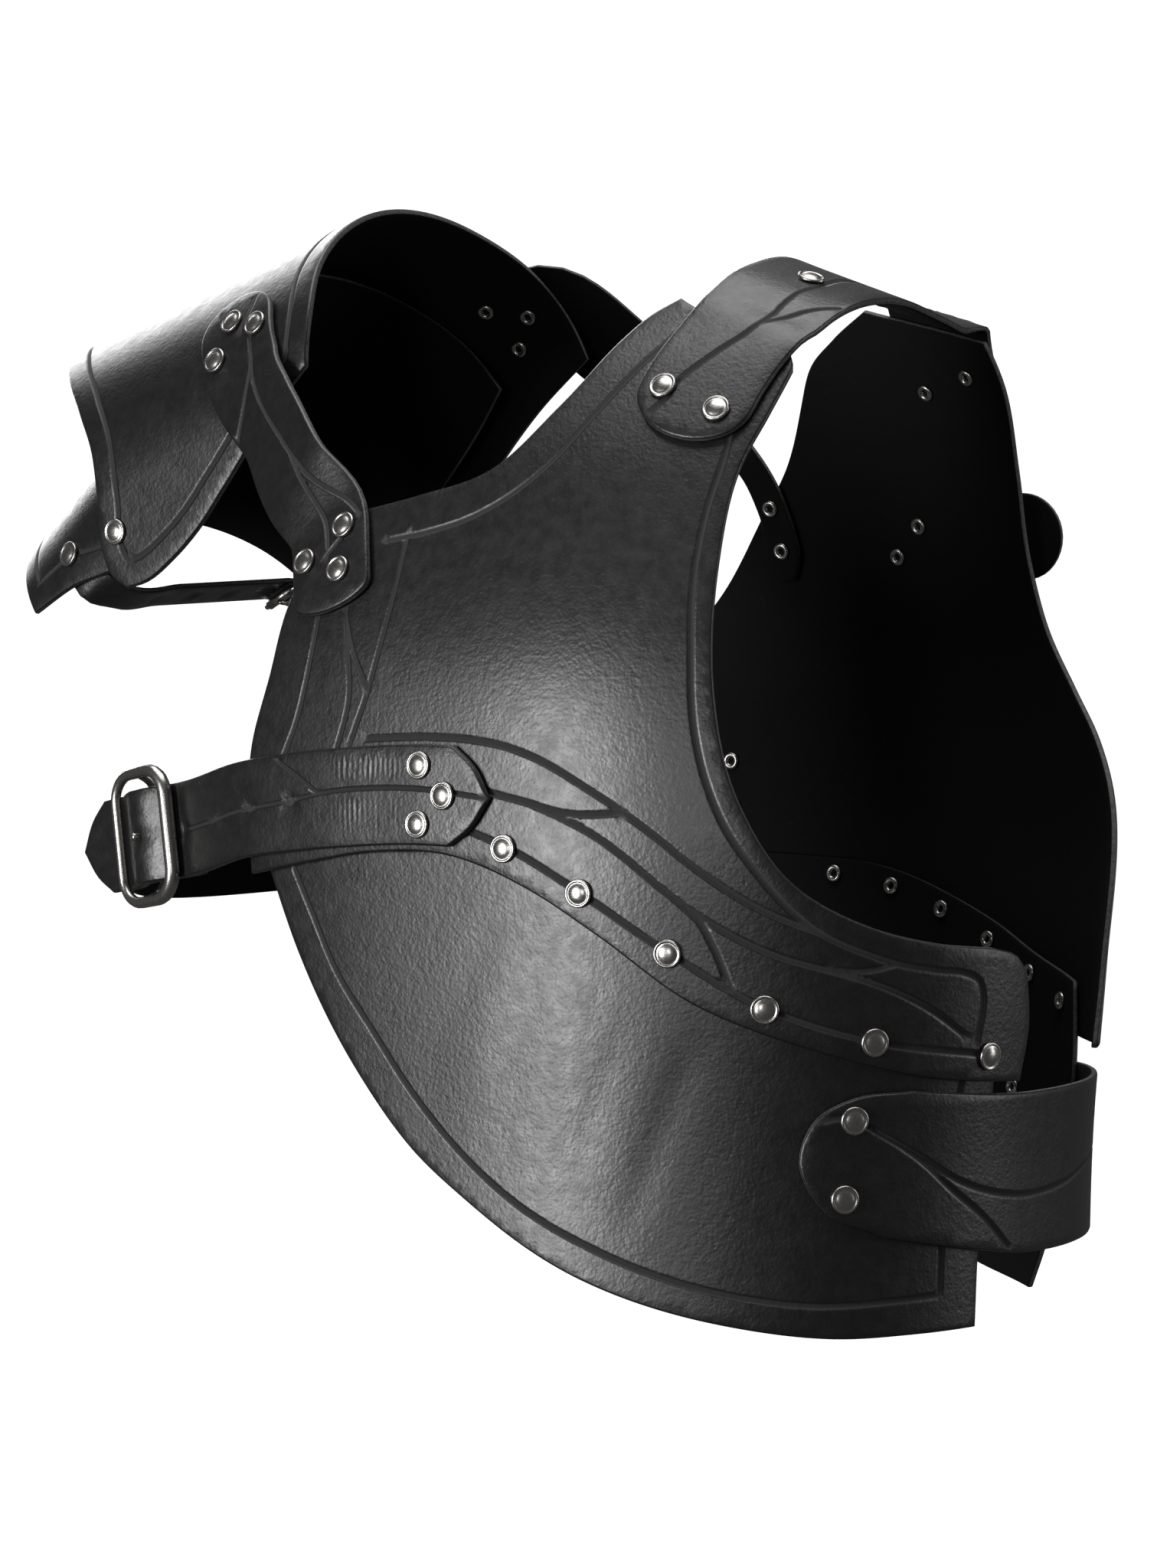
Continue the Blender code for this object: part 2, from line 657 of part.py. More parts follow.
STUD_HOLE = BUCKLE_STUD + 0.0022
HOLE_PITCH = 0.025
waist_front_spots = ((0.021, 0), (0.033, 0.0118), (0.033, -0.0118))
waist_front = strap_places(front_waist_place, waist_front_spots)
waist_holes = [ring((front_stud_at - HOLE_PITCH * k, 0), STRAP_HOLE) for k in range(1, 5)]
waist_holes.append(ring((front_stud_at, 0), STUD_HOLE))
waist_tip = front_stud_at + WAIST_TAIL
cut_strap("waist_strap", pointed(0, waist_tip, WAIST_STRAP_WIDTH, TIP_LENGTH, front_stud_at),
          waist_front_spots, front_waist_place, waist_holes,
          bends=waist_bends(front_stud_at, 0, waist_tip), rows=WAIST_ROWS, margin=0.0035)

rear_tip, rear_end = rear_stud_at - REAR_TAIL, rear_waist_route.length
waist_rear_spots = ((rear_end - 0.036, 0.0105), (rear_end - 0.036, -0.0105))
waist_rear = strap_places(rear_waist_place, waist_rear_spots)
cut_strap("rear_waist_strap", pointed(rear_tip, rear_end, WAIST_STRAP_WIDTH, TIP_LENGTH, rear_stud_at),
          waist_rear_spots, rear_waist_place, [ring((rear_stud_at, 0), STUD_HOLE)],
          bends=waist_bends(rear_stud_at, rear_tip, rear_end), rows=WAIST_ROWS, margin=0.0035)


def rounded_frame(half_length, half_height, corner, to_world):
    """Points round a frame with quarter-round corners."""
    points = []
    for quarter, (x, y) in enumerate(((1, 1), (-1, 1), (-1, -1), (1, -1))):
        for k in range(4):
            angle = (quarter + k / 3) * pi / 2
            points.append(to_world(x * (half_length - corner) + corner * cos(angle),
                                   y * (half_height - corner) + corner * sin(angle)))
    return points


def tube(name, points, diameter, facing, closed=False, sides=8):
    """A round bar along points that lie about square to the facing direction."""
    mesh = bmesh.new()
    count = len(points)
    rings = []
    for k, point in enumerate(points):
        before = points[(k - 1) % count] if closed else points[max(k - 1, 0)]
        after = points[(k + 1) % count] if closed else points[min(k + 1, count - 1)]
        along = (after - before).normalized()
        side = (facing - along * facing.dot(along)).normalized()
        other = along.cross(side)
        rings.append([mesh.verts.new(point + (side * cos(2 * pi * j / sides) + other * sin(2 * pi * j / sides))
                                     * diameter / 2) for j in range(sides)])
    pairs = zip(rings, rings[1:] + rings[:1]) if closed else zip(rings, rings[1:])
    for one, two in pairs:
        for j in range(sides):
            mesh.faces.new((one[j], one[(j + 1) % sides], two[(j + 1) % sides], two[j]))
    if not closed:
        mesh.faces.new(list(reversed(rings[0])))
        mesh.faces.new(rings[-1])
    bmesh.ops.triangulate(mesh, faces=mesh.faces[:])
    bmesh.ops.recalc_face_normals(mesh, faces=mesh.faces[:])
    return add_object(name, mesh, SATIN_NICKEL)


def fuse(base, tools):
    """Joins tools into a base by a Boolean union each."""
    for tool in tools:
        union = base.modifiers.new("union", "BOOLEAN")
        union.operation = "UNION"
        union.object = tool
        tool.hide_render = True
        tool.display_type = "WIRE"


def in_buckle(x, y, level=0):
    return BUCKLE_CENTRE + BUCKLE_HEADING * x + BUCKLE_UP * y + BUCKLE_OUTWARD * level


frame_points = rounded_frame(BUCKLE_LENGTH / 2, BUCKLE_HEIGHT / 2, BUCKLE_CORNER, in_buckle)
buckle = tube("waist_buckle_frame", frame_points, BUCKLE_WIRE, BUCKLE_OUTWARD, True)
bar_reach = BUCKLE_HEIGHT / 2
bar_points = [in_buckle(0, -bar_reach), in_buckle(0, -bar_reach * 0.86, -MIDDLE_BAR_DEPTH),
              in_buckle(0, 0, -MIDDLE_BAR_DEPTH), in_buckle(0, bar_reach * 0.86, -MIDDLE_BAR_DEPTH),
              in_buckle(0, bar_reach)]
middle_bar = tube("middle_bar", bar_points, BUCKLE_BAR, BUCKLE_HEADING)
STUD_TOP = STRAPS_THICKNESS + BUCKLE_BAR / 2 - MIDDLE_BAR_DEPTH + 0.0035
stud = tube("stud", [in_buckle(0, 0, -MIDDLE_BAR_DEPTH), in_buckle(0, 0, STUD_TOP)], BUCKLE_STUD,
            BUCKLE_HEADING)
fuse(buckle, (middle_bar, stud))

# Pauldron straps
front_strap_route = Route((
    (UPPER_LAME.at(0.235, -50, LAYER), UPPER_LAME.outward(0.235, -50)),
    (UPPER_LAME.at(0.225, -64, LAYER), UPPER_LAME.outward(0.225, -64)),
    (UPPER_LAME.at(0.205, -78, LAYER), UPPER_LAME.outward(0.205, -78)),
    (Vector((-0.110, -0.110, -0.072)), Vector((-0.25, -0.94, 0.1))),
    (Vector((-0.083, -0.126, -0.098)), Vector((-0.22, -0.92, 0.25))),
    body_stop(-26.5, 0.256, TOP),
    body_stop(-23, 0.287, TOP),
    body_stop(-19.5, 0.330, TOP),
))
front_strap_length = front_strap_route.length
front_strap_leaves = front_strap_route.nearest(UPPER_LAME.at(0.205, -78, LAYER))
front_strap_lands = front_strap_route.nearest(body_stop(-26.5, 0.256, TOP)[0])
front_strap_place = front_strap_route.sheet(0, (
    (0, front_strap_leaves - 0.012, 0.012, UPPER_LAME.on, LAYER),
    (front_strap_lands + 0.010, front_strap_length, 0.022, on_body, TOP)))
front_strap_top_spots = ((0.0150, -0.0015), (0.0240, 0.0120), (0.0295, -0.0120))
front_strap_low_spots = ((front_strap_length - 0.0345, 0.0090), (front_strap_length - 0.0265, -0.0125),
                         (front_strap_length - 0.0160, 0.0052))
cut_strap("front_pauldron_strap",
          round_ended(0, front_strap_length, PAULDRON_STRAP_WIDTH, 0.9, 0.4),
          front_strap_top_spots + front_strap_low_spots, front_strap_place, spacing=0.010)
front_strap_low = strap_places(front_strap_place, front_strap_low_spots)

rear_strap_route = Route((
    (UPPER_LAME.at(0.21, 60, LAYER), UPPER_LAME.outward(0.21, 60)),
    (UPPER_LAME.at(0.11, 60, LAYER), UPPER_LAME.outward(0.11, 60)),
    (UPPER_LAME.at(0.00, 61, LAYER), UPPER_LAME.outward(0.00, 61)),
    (Vector((-0.080, 0.104, -0.033)), Vector((-0.22, 0.90, 0.36))),
    (Vector((-0.053, 0.111, -0.053)), Vector((-0.10, 0.93, 0.33))),
    body_stop(188.5, 0.180, INNER),
    body_stop(184.5, 0.222, INNER),
    body_stop(182.5, 0.292, INNER),
))
rear_strap_length = rear_strap_route.length
rear_strap_leaves = rear_strap_route.nearest(UPPER_LAME.at(0.00, 61, LAYER))
rear_strap_lands = rear_strap_route.nearest(body_stop(188.5, 0.180, INNER)[0])
rear_strap_place = rear_strap_route.sheet(0, (
    (0, rear_strap_leaves - 0.012, 0.012, UPPER_LAME.on, LAYER),
    (rear_strap_lands + 0.006, rear_strap_length, 0.022, on_body, INNER)))


def narrowed(length, wide, narrow):
    """Outline of a strap that narrows along its far half to a tongue."""
    side = [(length * share, wide / 2 + (narrow - wide) / 2 * bulge) for share, bulge in
            ((0.06, 0.1), (0.18, 0), (0.34, 0), (0.48, 0.25), (0.62, 0.75), (0.74, 1), (0.86, 1), (0.97, 1.05))]
    return ([(0, -wide * 0.22)] + [(x, -y) for x, y in side] + [(length, -narrow * 0.2)]
            + [(length, narrow * 0.2)] + [(x, y) for x, y in reversed(side)] + [(0, wide * 0.22)])


rear_strap_top_spots = ((0.0195, -0.0118), (0.0365, 0), (0.0235, 0.0118))
rear_strap_low_spots = ((rear_strap_length - 0.034, 0), (rear_strap_length - 0.014, 0))
cut_strap("rear_pauldron_strap", narrowed(rear_strap_length, REAR_STRAP_WIDTH, REAR_TONGUE_WIDTH),
          rear_strap_top_spots + rear_strap_low_spots, rear_strap_place, spacing=0.010)
rear_strap_low = strap_places(rear_strap_place, rear_strap_low_spots)

# Back tab: a tongue on the back plate, whose round end stands off towards the left
back_tab_route = Route((
    body_stop(162, 0.262, TOP),
    body_stop(153.5, 0.257, TOP),
    body_stop(146, 0.253, TOP + 0.001),
    (Vector((0.106, 0.131, -0.117)), Vector((0.06, 0.99, 0.1))),
    (Vector((0.134, 0.131, -0.118)), Vector((0.0, 1, 0.08))),
))
back_tab_place = back_tab_route.sheet(0, ((0, 0.018, 0.012, on_body, TOP),))
back_tab_spots = ((0.011, 0.006), (0.027, -0.006))
cut_strap("back_tab", round_ended(0, back_tab_route.length, BACK_TAB_WIDTH, 0.5, 1.0),
          back_tab_spots, back_tab_place, spacing=0.012)
back_tab_rivets = strap_places(back_tab_place, back_tab_spots)

# Plates of the body, with their rivets
waist_row = shares((16, 0.529), (27.5, 0.565), (39, 0.614), (50, 0.660), (62, 0.688), (77, 0.704))
back_row = shares((172, 0.574), (159, 0.584), (148, 0.604), (138, 0.630), (129, 0.658), (121, 0.680))
side_band_front = shares((60, 0.754), (59, 0.821))
side_band_rear = shares((131, 0.765), (131, 0.832))

breast_hem = run((83, 0.729), (70, 0.721), (56, 0.696), (42, 0.657), (30, 0.601), (21, 0.567),
                 (7, 0.537), (-8, 0.535), (-20, 0.545), (-32, 0.558))
breast_outline = joined(
    run((47, 0.060), (39, 0.077), (32, 0.099), (19, 0.156), (8, 0.204), (-9, 0.229), (-20, 0.240)),
    run((-20, 0.240), (-27, 0.262), (-30, 0.319), (-30.5, 0.380), (-33, 0.452), (-33, 0.500), (-32, 0.558)),
    list(reversed(breast_hem)),
    run((83, 0.729), (84, 0.680), (83, 0.636)),
    run((83, 0.636), (81, 0.620), (77, 0.612)),
    run((77, 0.612), (69, 0.606), (62, 0.593), (53, 0.556), (47, 0.487), (44.5, 0.400), (46, 0.290),
        (50, 0.211), (55, 0.165), (59.5, 0.127)),
    run((59.5, 0.127), (60, 0.114), (57.5, 0.103)),
    run((57.5, 0.103), (52, 0.081), (47, 0.060)))
plate("breastplate", breast_outline, shoulder_front + waist_front + front_strap_low + waist_row, OUTER)

overlap = PLATE_OVERLAP / TORSO_HEIGHT
belly_outline = joined(
    run((-30, 0.549), (-14, 0.532), (0, 0.530), (9, 0.512), (17, 0.546 - overlap), (30, 0.596 - overlap),
        (42, 0.654 - overlap), (56, 0.694 - overlap), (70, 0.719 - overlap), (80, 0.727 - overlap)),
    run((80, 0.727 - overlap), (79, 0.800), (78, 0.871), (77.5, 0.939)),
    run((77.5, 0.939), (68, 0.940), (58, 0.940), (46, 0.929), (27, 0.894), (8, 0.832), (-2, 0.792),
        (-14, 0.718), (-24, 0.628), (-30, 0.549)))
plate("belly_plate", belly_outline, waist_row + side_band_front, INNER)

back_hem = run((104, 0.712), (121, 0.706), (129, 0.684), (138, 0.656), (148, 0.629), (159, 0.609),
               (172, 0.599), (190, 0.594), (210, 0.588), (228, 0.584))
back_outline = joined(
    run((139, 0.050), (153, 0.074), (164, 0.098), (181, 0.193), (187, 0.226), (199, 0.309), (212, 0.380),
        (224, 0.430)),
    run((224, 0.430), (229, 0.460), (229, 0.520), (228, 0.584)),
    list(reversed(back_hem)),
    run((104, 0.712), (106, 0.653), (109, 0.562), (113, 0.492), (118, 0.443), (124, 0.396), (129, 0.340),
        (130, 0.284), (127, 0.199), (122, 0.125), (120, 0.084)),
    run((120, 0.084), (129, 0.066), (139, 0.050)))
plate("back_plate", back_outline,
      shoulder_rear + waist_rear + rear_strap_low + back_tab_rivets + back_row, OUTER)

lower_back_outline = joined(
    run((118, 0.661), (128, 0.641), (137, 0.614), (146, 0.592), (157, 0.571), (165, 0.562), (177, 0.558),
        (187, 0.556), (205, 0.552), (226, 0.549)),
    run((226, 0.549), (221, 0.600), (206, 0.673), (190, 0.761), (172, 0.835), (153, 0.894), (140, 0.930),
        (127, 0.949)),
    run((127, 0.949), (123, 0.900), (117, 0.800), (116, 0.740), (118, 0.661)))
plate("lower_back_plate", lower_back_outline, back_row + side_band_rear, INNER)

side_band_outline = joined(
    run((67, 0.731), (82, 0.739), (100, 0.738), (116, 0.734), (132, 0.737)),
    run((132, 0.737), (137, 0.758), (138, 0.798), (137, 0.840), (132, 0.862)),
    run((132, 0.862), (116, 0.872), (100, 0.880), (86, 0.880), (72, 0.866), (64, 0.855)),
    run((64, 0.855), (57, 0.832), (54, 0.790), (56, 0.752), (60, 0.736), (67, 0.731)))
plate("side_band", side_band_outline, side_band_front + side_band_rear, OUTER)


# Lames of the pauldron. A flat pattern's x is the length, its y the angle times the arch.
LAME_METRES = PAULDRON_ARCH * pi / 180


def lame_run(lame, *stops):
    return smooth_run([(share * lame.length, angle * LAME_METRES) for share, angle in stops], 0.014)


def lame_hole(lame, share, angle, diameter):
    around = (lame.skin(share, angle + 1) - lame.skin(share, angle - 1)).length / (2 * LAME_METRES)
    return ring((share * lame.length, angle * LAME_METRES), diameter, (1, around))


def lame_plate(name, lame, outline, spots):
    """An arched plate with a rivet hole at each spot."""
    def place(x, y, depth):
        return lame.at(x / lame.length, y / LAME_METRES, depth)
    columns = steps(-0.02, lame.length, 0.028)
    rows = [angle * LAME_METRES for angle in range(-110, 111, 10)]
    return leather_piece(name, outline, [lame_hole(lame, *spot, SHANK_HOLE) for spot in spots],
                         place, columns, rows)


def lame_spots(lame, place, spots):
    return [lame.place(place(along, across, 0)) for along, across in spots]


def lame_rivets(stem, lame, places, low, high):
    for number, (share, angle) in enumerate(places, 1):
        rivet(f"{stem}_{number}", lame.skin(share, angle), lame.outward(share, angle), low, high)


front_strap_top = lame_spots(UPPER_LAME, front_strap_place, front_strap_top_spots)
rear_strap_top = lame_spots(UPPER_LAME, rear_strap_place, rear_strap_top_spots)
upper_pins = [(PIVOT_SHARE, -PIVOT_ANGLE), (PIVOT_SHARE, PIVOT_ANGLE)]
lower_pins = [LOWER_LAME.place(UPPER_LAME.skin(*pin)) for pin in upper_pins]

upper_outline = joined(
    lame_run(UPPER_LAME, (0.88, 0), (0.84, -20), (0.75, -44), (0.68, -62), (0.645, -76), (0.65, -90),
             (0.67, -102), (0.66, -111), (0.63, -116)),
    lame_run(UPPER_LAME, (0.63, -116), (0.58, -117), (0.50, -115), (0.42, -111), (0.33, -104),
             (0.20, -93), (0.06, -83)),
    lame_run(UPPER_LAME, (0.06, -83), (0.04, -66), (0.04, -48), (0.03, -22), (0.02, 0), (0.00, 26),
             (-0.03, 50), (-0.04, 66), (-0.04, 80)),
    lame_run(UPPER_LAME, (-0.04, 80), (0.12, 88), (0.28, 100), (0.40, 110), (0.50, 115), (0.58, 117),
             (0.63, 116)),
    lame_run(UPPER_LAME, (0.63, 116), (0.66, 111), (0.67, 102), (0.65, 90), (0.645, 76), (0.68, 62),
             (0.75, 44), (0.84, 20), (0.88, 0)))
lame_plate("pauldron_upper", UPPER_LAME, upper_outline, front_strap_top + rear_strap_top + upper_pins)

ARM_STRAP_SHARE = 0.80
ARM_RIVET_ANGLE = 76
arm_pins = [(ARM_STRAP_SHARE, -ARM_RIVET_ANGLE), (ARM_STRAP_SHARE - 0.06, ARM_RIVET_ANGLE)]
lower_outline = joined(
    lame_run(LOWER_LAME, (0.96, 0), (0.98, -25), (0.99, -50), (0.99, -80)),
    lame_run(LOWER_LAME, (0.99, -80), (0.84, -87), (0.70, -98), (0.60, -103), (0.48, -102), (0.30, -96),
             (0.10, -90), (0.01, -82)),
    lame_run(LOWER_LAME, (0.01, -82), (0.00, -50), (0.00, -20), (-0.01, 20), (-0.02, 50), (-0.03, 80),
             (-0.03, 104)),
    lame_run(LOWER_LAME, (-0.03, 104), (0.10, 106), (0.30, 106), (0.48, 105), (0.60, 103), (0.70, 98),
             (0.79, 87), (0.86, 80)),
    lame_run(LOWER_LAME, (0.86, 80), (0.87, 55), (0.90, 28), (0.96, 0)))
lame_plate("pauldron_lower", LOWER_LAME, lower_outline, lower_pins + arm_pins)

# Arm strap: inside the lower lame's front tip, then under the arm to the roller buckle behind
STRAP_BASE = -(ARM_LEATHER + LAYER_GAP)
ARM_NORMAL = Vector((0.45, 0, -0.89)).normalized()
BEND_DROP = 0.005
ARM_BUCKLE_SHARE = 0.78
ARM_LAID = 0.024


def inside_lame(share, angle):
    """A stop on the inner side of the lower lame, less a layer of arm leather."""
    return LOWER_LAME.at(share, angle, STRAP_BASE), LOWER_LAME.outward(share, angle)


front_bend = inside_lame(arm_pins[0][0], -91)[0] + Vector((0.006, 0.012, -BEND_DROP))
rear_bend = inside_lame(arm_pins[1][0], 91)[0] + Vector((0.006, -0.012, -BEND_DROP))
ARM_ALONG = (rear_bend - front_bend).normalized()
ARM_NORMAL = (ARM_NORMAL - ARM_ALONG * ARM_NORMAL.dot(ARM_ALONG)).normalized()
ARM_SIDE = ARM_NORMAL.cross(ARM_ALONG)
ARM_BUCKLE_CENTRE = front_bend.lerp(rear_bend, ARM_BUCKLE_SHARE)
HALF_FRAME = ARM_BUCKLE_LENGTH / 2
ROLLER_LEVEL = ARM_LEATHER + ARM_BUCKLE_ROLLER / 2 + 0.0008
REAR_BAR_LEVEL = 0.0004
BAR_REACH = ARM_BUCKLE_WIRE / 2 + 0.0005
OVER_CHAPE = REAR_BAR_LEVEL + BAR_REACH + ARM_LEATHER + LAYER_GAP


def in_arm_buckle(along, side, level):
    return ARM_BUCKLE_CENTRE + ARM_ALONG * along + ARM_SIDE * side + ARM_NORMAL * level


arm_route = Route((
    inside_lame(arm_pins[0][0], -64),
    inside_lame(arm_pins[0][0], -78),
    inside_lame(arm_pins[0][0], -91),
    (front_bend, ARM_NORMAL),
    (front_bend.lerp(rear_bend, 0.2), ARM_NORMAL),
    (front_bend.lerp(rear_bend, 0.5), ARM_NORMAL),
    (in_arm_buckle(-1.6 * HALF_FRAME, 0, 0), ARM_NORMAL),
    (in_arm_buckle(-0.9 * HALF_FRAME, 0, 0), ARM_NORMAL),
    (in_arm_buckle(0.9 * HALF_FRAME, 0, OVER_CHAPE), ARM_NORMAL),
    (in_arm_buckle(2.3 * HALF_FRAME, 0, OVER_CHAPE + 0.0006), ARM_NORMAL),
))
arm_place = arm_route.sheet(0, ((0, ARM_LAID, 0.008, LOWER_LAME.on, STRAP_BASE),))
arm_rivet_at = arm_route.nearest(inside_lame(*arm_pins[0])[0])
arm_hole_at = arm_route.nearest(front_bend) + 0.020
arm_holes = [ring((arm_hole_at + ARM_HOLE_PITCH * k, 0), ARM_HOLE) for k in range(4)]
prong_hole_at = arm_route.nearest(in_arm_buckle(0, 0, OVER_CHAPE / 2))
arm_holes.append([Vector((prong_hole_at + x, y)) for x, y in
                  ((-0.0055, -0.0022), (0.0055, -0.0022), (0.0055, 0.0022), (-0.0055, 0.0022))])
arm_bends = steps(0, arm_route.length, 0.006)
cut_strap("arm_strap", round_ended(0, arm_route.length, ARM_STRAP_WIDTH, 0.8, 0.8, arm_bends),
          ((arm_rivet_at, 0),), arm_place, arm_holes, ARM_LEATHER, bends=arm_bends, margin=0.003)

# Arm buckle's chape: from the lame's rear tip, round the rear bar and back on itself
bar = in_arm_buckle(HALF_FRAME, 0, REAR_BAR_LEVEL)
fold = [(bar + BAR_REACH * (ARM_NORMAL * sin(a) - ARM_ALONG * cos(a)),
         ARM_NORMAL * sin(a) - ARM_ALONG * cos(a)) for a in (radians(d) for d in (60, 30, 0, -30, -60))]
chape_route = Route((
    inside_lame(arm_pins[1][0], 64),
    inside_lame(arm_pins[1][0], 78),
    inside_lame(arm_pins[1][0], 91),
    (rear_bend, ARM_NORMAL),
    (bar + ARM_NORMAL * BAR_REACH + ARM_ALONG * 0.010, ARM_NORMAL),
    (bar + ARM_NORMAL * BAR_REACH, ARM_NORMAL),
    *fold,
    (bar - ARM_NORMAL * BAR_REACH, -ARM_NORMAL),
    (bar - ARM_NORMAL * BAR_REACH + ARM_ALONG * 0.012, -ARM_NORMAL),
))
chape_place = chape_route.sheet(0, ((0, ARM_LAID, 0.008, LOWER_LAME.on, STRAP_BASE),))
chape_rivet_at = chape_route.nearest(inside_lame(*arm_pins[1])[0])
fold_at = chape_route.nearest(fold[2][0])
slot_half = pi * BAR_REACH / 2 + 0.0035
SLOT_WIDTH = 0.0044
fold_bends = [fold_at + 0.001 * k for k in range(-5, 6)]
slot_along = [fold_at - slot_half, *fold_bends, fold_at + slot_half]
slot = ([Vector((x, -SLOT_WIDTH / 2)) for x in slot_along]
        + [Vector((x, SLOT_WIDTH / 2)) for x in reversed(slot_along)])
chape_bends = steps(0, fold_at - 0.008, 0.006) + fold_bends
cut_strap("arm_buckle_chape", round_ended(0, chape_route.length, ARM_STRAP_WIDTH, 0.8, bends=chape_bends),
          ((chape_rivet_at, 0),), chape_place, [slot], ARM_LEATHER, bends=chape_bends, rows=(-0.6, 0.6),
          margin=0.0025)


def arm_frame_point(x, y):
    """A point of the frame, which tilts from its rear bar out to its roller."""
    share = (HALF_FRAME - x) / (2 * HALF_FRAME)
    return in_arm_buckle(x, y, REAR_BAR_LEVEL + (ROLLER_LEVEL - REAR_BAR_LEVEL) * share)


arm_half_height = ARM_STRAP_WIDTH / 2 + ARM_BUCKLE_WIRE / 2 + 0.0012
arm_buckle = tube("arm_buckle", rounded_frame(HALF_FRAME, arm_half_height, 0.0035, arm_frame_point),
                  ARM_BUCKLE_WIRE, ARM_NORMAL, True)
roller_reach = ARM_STRAP_WIDTH / 2 - 0.001
roller = tube("roller", [in_arm_buckle(-HALF_FRAME, y, ROLLER_LEVEL) for y in (-roller_reach, roller_reach)],
              ARM_BUCKLE_ROLLER, ARM_NORMAL)
PRONG_WIRE = 0.0022
prong = tube("prong", [in_arm_buckle(HALF_FRAME, 0, REAR_BAR_LEVEL),
                       in_arm_buckle(0, 0, OVER_CHAPE / 2 + ARM_LEATHER / 2),
                       in_arm_buckle(-HALF_FRAME, 0, ROLLER_LEVEL + ARM_BUCKLE_ROLLER / 2 + PRONG_WIRE * 0.3),
                       in_arm_buckle(-HALF_FRAME * 1.3, 0, ROLLER_LEVEL + ARM_BUCKLE_ROLLER / 2)],
             PRONG_WIRE, ARM_SIDE, sides=6)
fuse(arm_buckle, (roller, prong))

# Rivets
body_rivets("rivet_shoulder_front", shoulder_front, OUTER, TOP + LEATHER)
body_rivets("rivet_shoulder_rear", shoulder_rear, OUTER, TOP + LEATHER)
body_rivets("rivet_waist_strap", waist_front, OUTER, TOP + LEATHER)
body_rivets("rivet_rear_waist_strap", waist_rear, OUTER, TOP + LEATHER)
body_rivets("rivet_waist_row", waist_row, INNER, OUTER + LEATHER)
body_rivets("rivet_back_row", back_row, INNER, OUTER + LEATHER)
body_rivets("rivet_side_front", side_band_front, INNER, OUTER + LEATHER)
body_rivets("rivet_side_rear", side_band_rear, INNER, OUTER + LEATHER)
body_rivets("rivet_front_strap_low", front_strap_low, OUTER, TOP + LEATHER)
body_rivets("rivet_rear_strap_low", rear_strap_low, INNER, OUTER + LEATHER)
body_rivets("rivet_back_tab", back_tab_rivets, OUTER, TOP + LEATHER)
lame_rivets("rivet_front_strap_top", UPPER_LAME, front_strap_top, 0, LAYER + LEATHER)
lame_rivets("rivet_rear_strap_top", UPPER_LAME, rear_strap_top, 0, LAYER + LEATHER)
lame_rivets("rivet_pauldron_pin", UPPER_LAME, upper_pins, -LAYER, LEATHER)
lame_rivets("rivet_arm_strap", LOWER_LAME, arm_pins, STRAP_BASE, LEATHER)
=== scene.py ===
"""Looks of a black leather cuirass with one pauldron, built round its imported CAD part.

Each piece of leather is cut flat, carved, rounded at its edges and then formed where it is worn.
"""
from bisect import bisect_right
from math import atan2, cos, degrees, exp, pi, radians, sin

import bmesh
import bpy
from mathutils import Matrix, Vector, kdtree, noise
from mathutils.geometry import delaunay_2d_cdt


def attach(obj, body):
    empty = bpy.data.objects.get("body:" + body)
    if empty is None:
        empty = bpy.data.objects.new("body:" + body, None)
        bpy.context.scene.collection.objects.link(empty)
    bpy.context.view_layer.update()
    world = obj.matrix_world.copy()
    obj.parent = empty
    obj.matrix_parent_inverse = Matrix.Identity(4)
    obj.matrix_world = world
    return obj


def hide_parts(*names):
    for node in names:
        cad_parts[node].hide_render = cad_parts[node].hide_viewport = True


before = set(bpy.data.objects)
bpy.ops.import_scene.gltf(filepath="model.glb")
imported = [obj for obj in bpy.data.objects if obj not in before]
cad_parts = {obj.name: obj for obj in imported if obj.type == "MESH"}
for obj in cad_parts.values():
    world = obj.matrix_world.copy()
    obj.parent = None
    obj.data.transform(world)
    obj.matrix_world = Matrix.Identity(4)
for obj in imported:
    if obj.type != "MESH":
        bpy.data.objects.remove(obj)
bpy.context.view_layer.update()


# Photo table: the cuirass hangs over white paper in a white room. Two soft boxes stand in front
# and two screens behind it, and the camera is level with the chest.
def linear(colour, strength=1.0):
    """An sRGB hex colour as linear red, green, blue and alpha."""
    parts = [int(colour[k:k + 2], 16) / 255 for k in (1, 3, 5)]
    return [strength * (p / 12.92 if p <= 0.04045 else ((p + 0.055) / 1.055) ** 2.4) for p in parts] + [1.0]


def add_node(tree, kind, inputs=None, **settings):
    """Adds one node with its settings, and fills its inputs with values or with other nodes' outputs."""
    new = tree.nodes.new(kind)
    for key, value in settings.items():
        setattr(new, key, value)
    for key, value in (inputs or {}).items():
        if isinstance(value, bpy.types.NodeSocket):
            tree.links.new(value, new.inputs[key])
        else:
            new.inputs[key].default_value = value
    return new


CAMERA_TURN = 35
CAMERA_RISE = 1.5
CAMERA_DISTANCE = 2.0
PIXELS_PER_METRE = 3050
PHOTO = (1511, 2048)
AXIS_COLUMN, SHOULDER_ROW = 830, 340
FLOOR_DROP, FLOOR_RADIUS = 0.95, 60
ROOM_LIGHT, ROOM_SEEN = 0.10, 1.15
CHEST_MIDDLE = Vector((0, 0, -0.22))

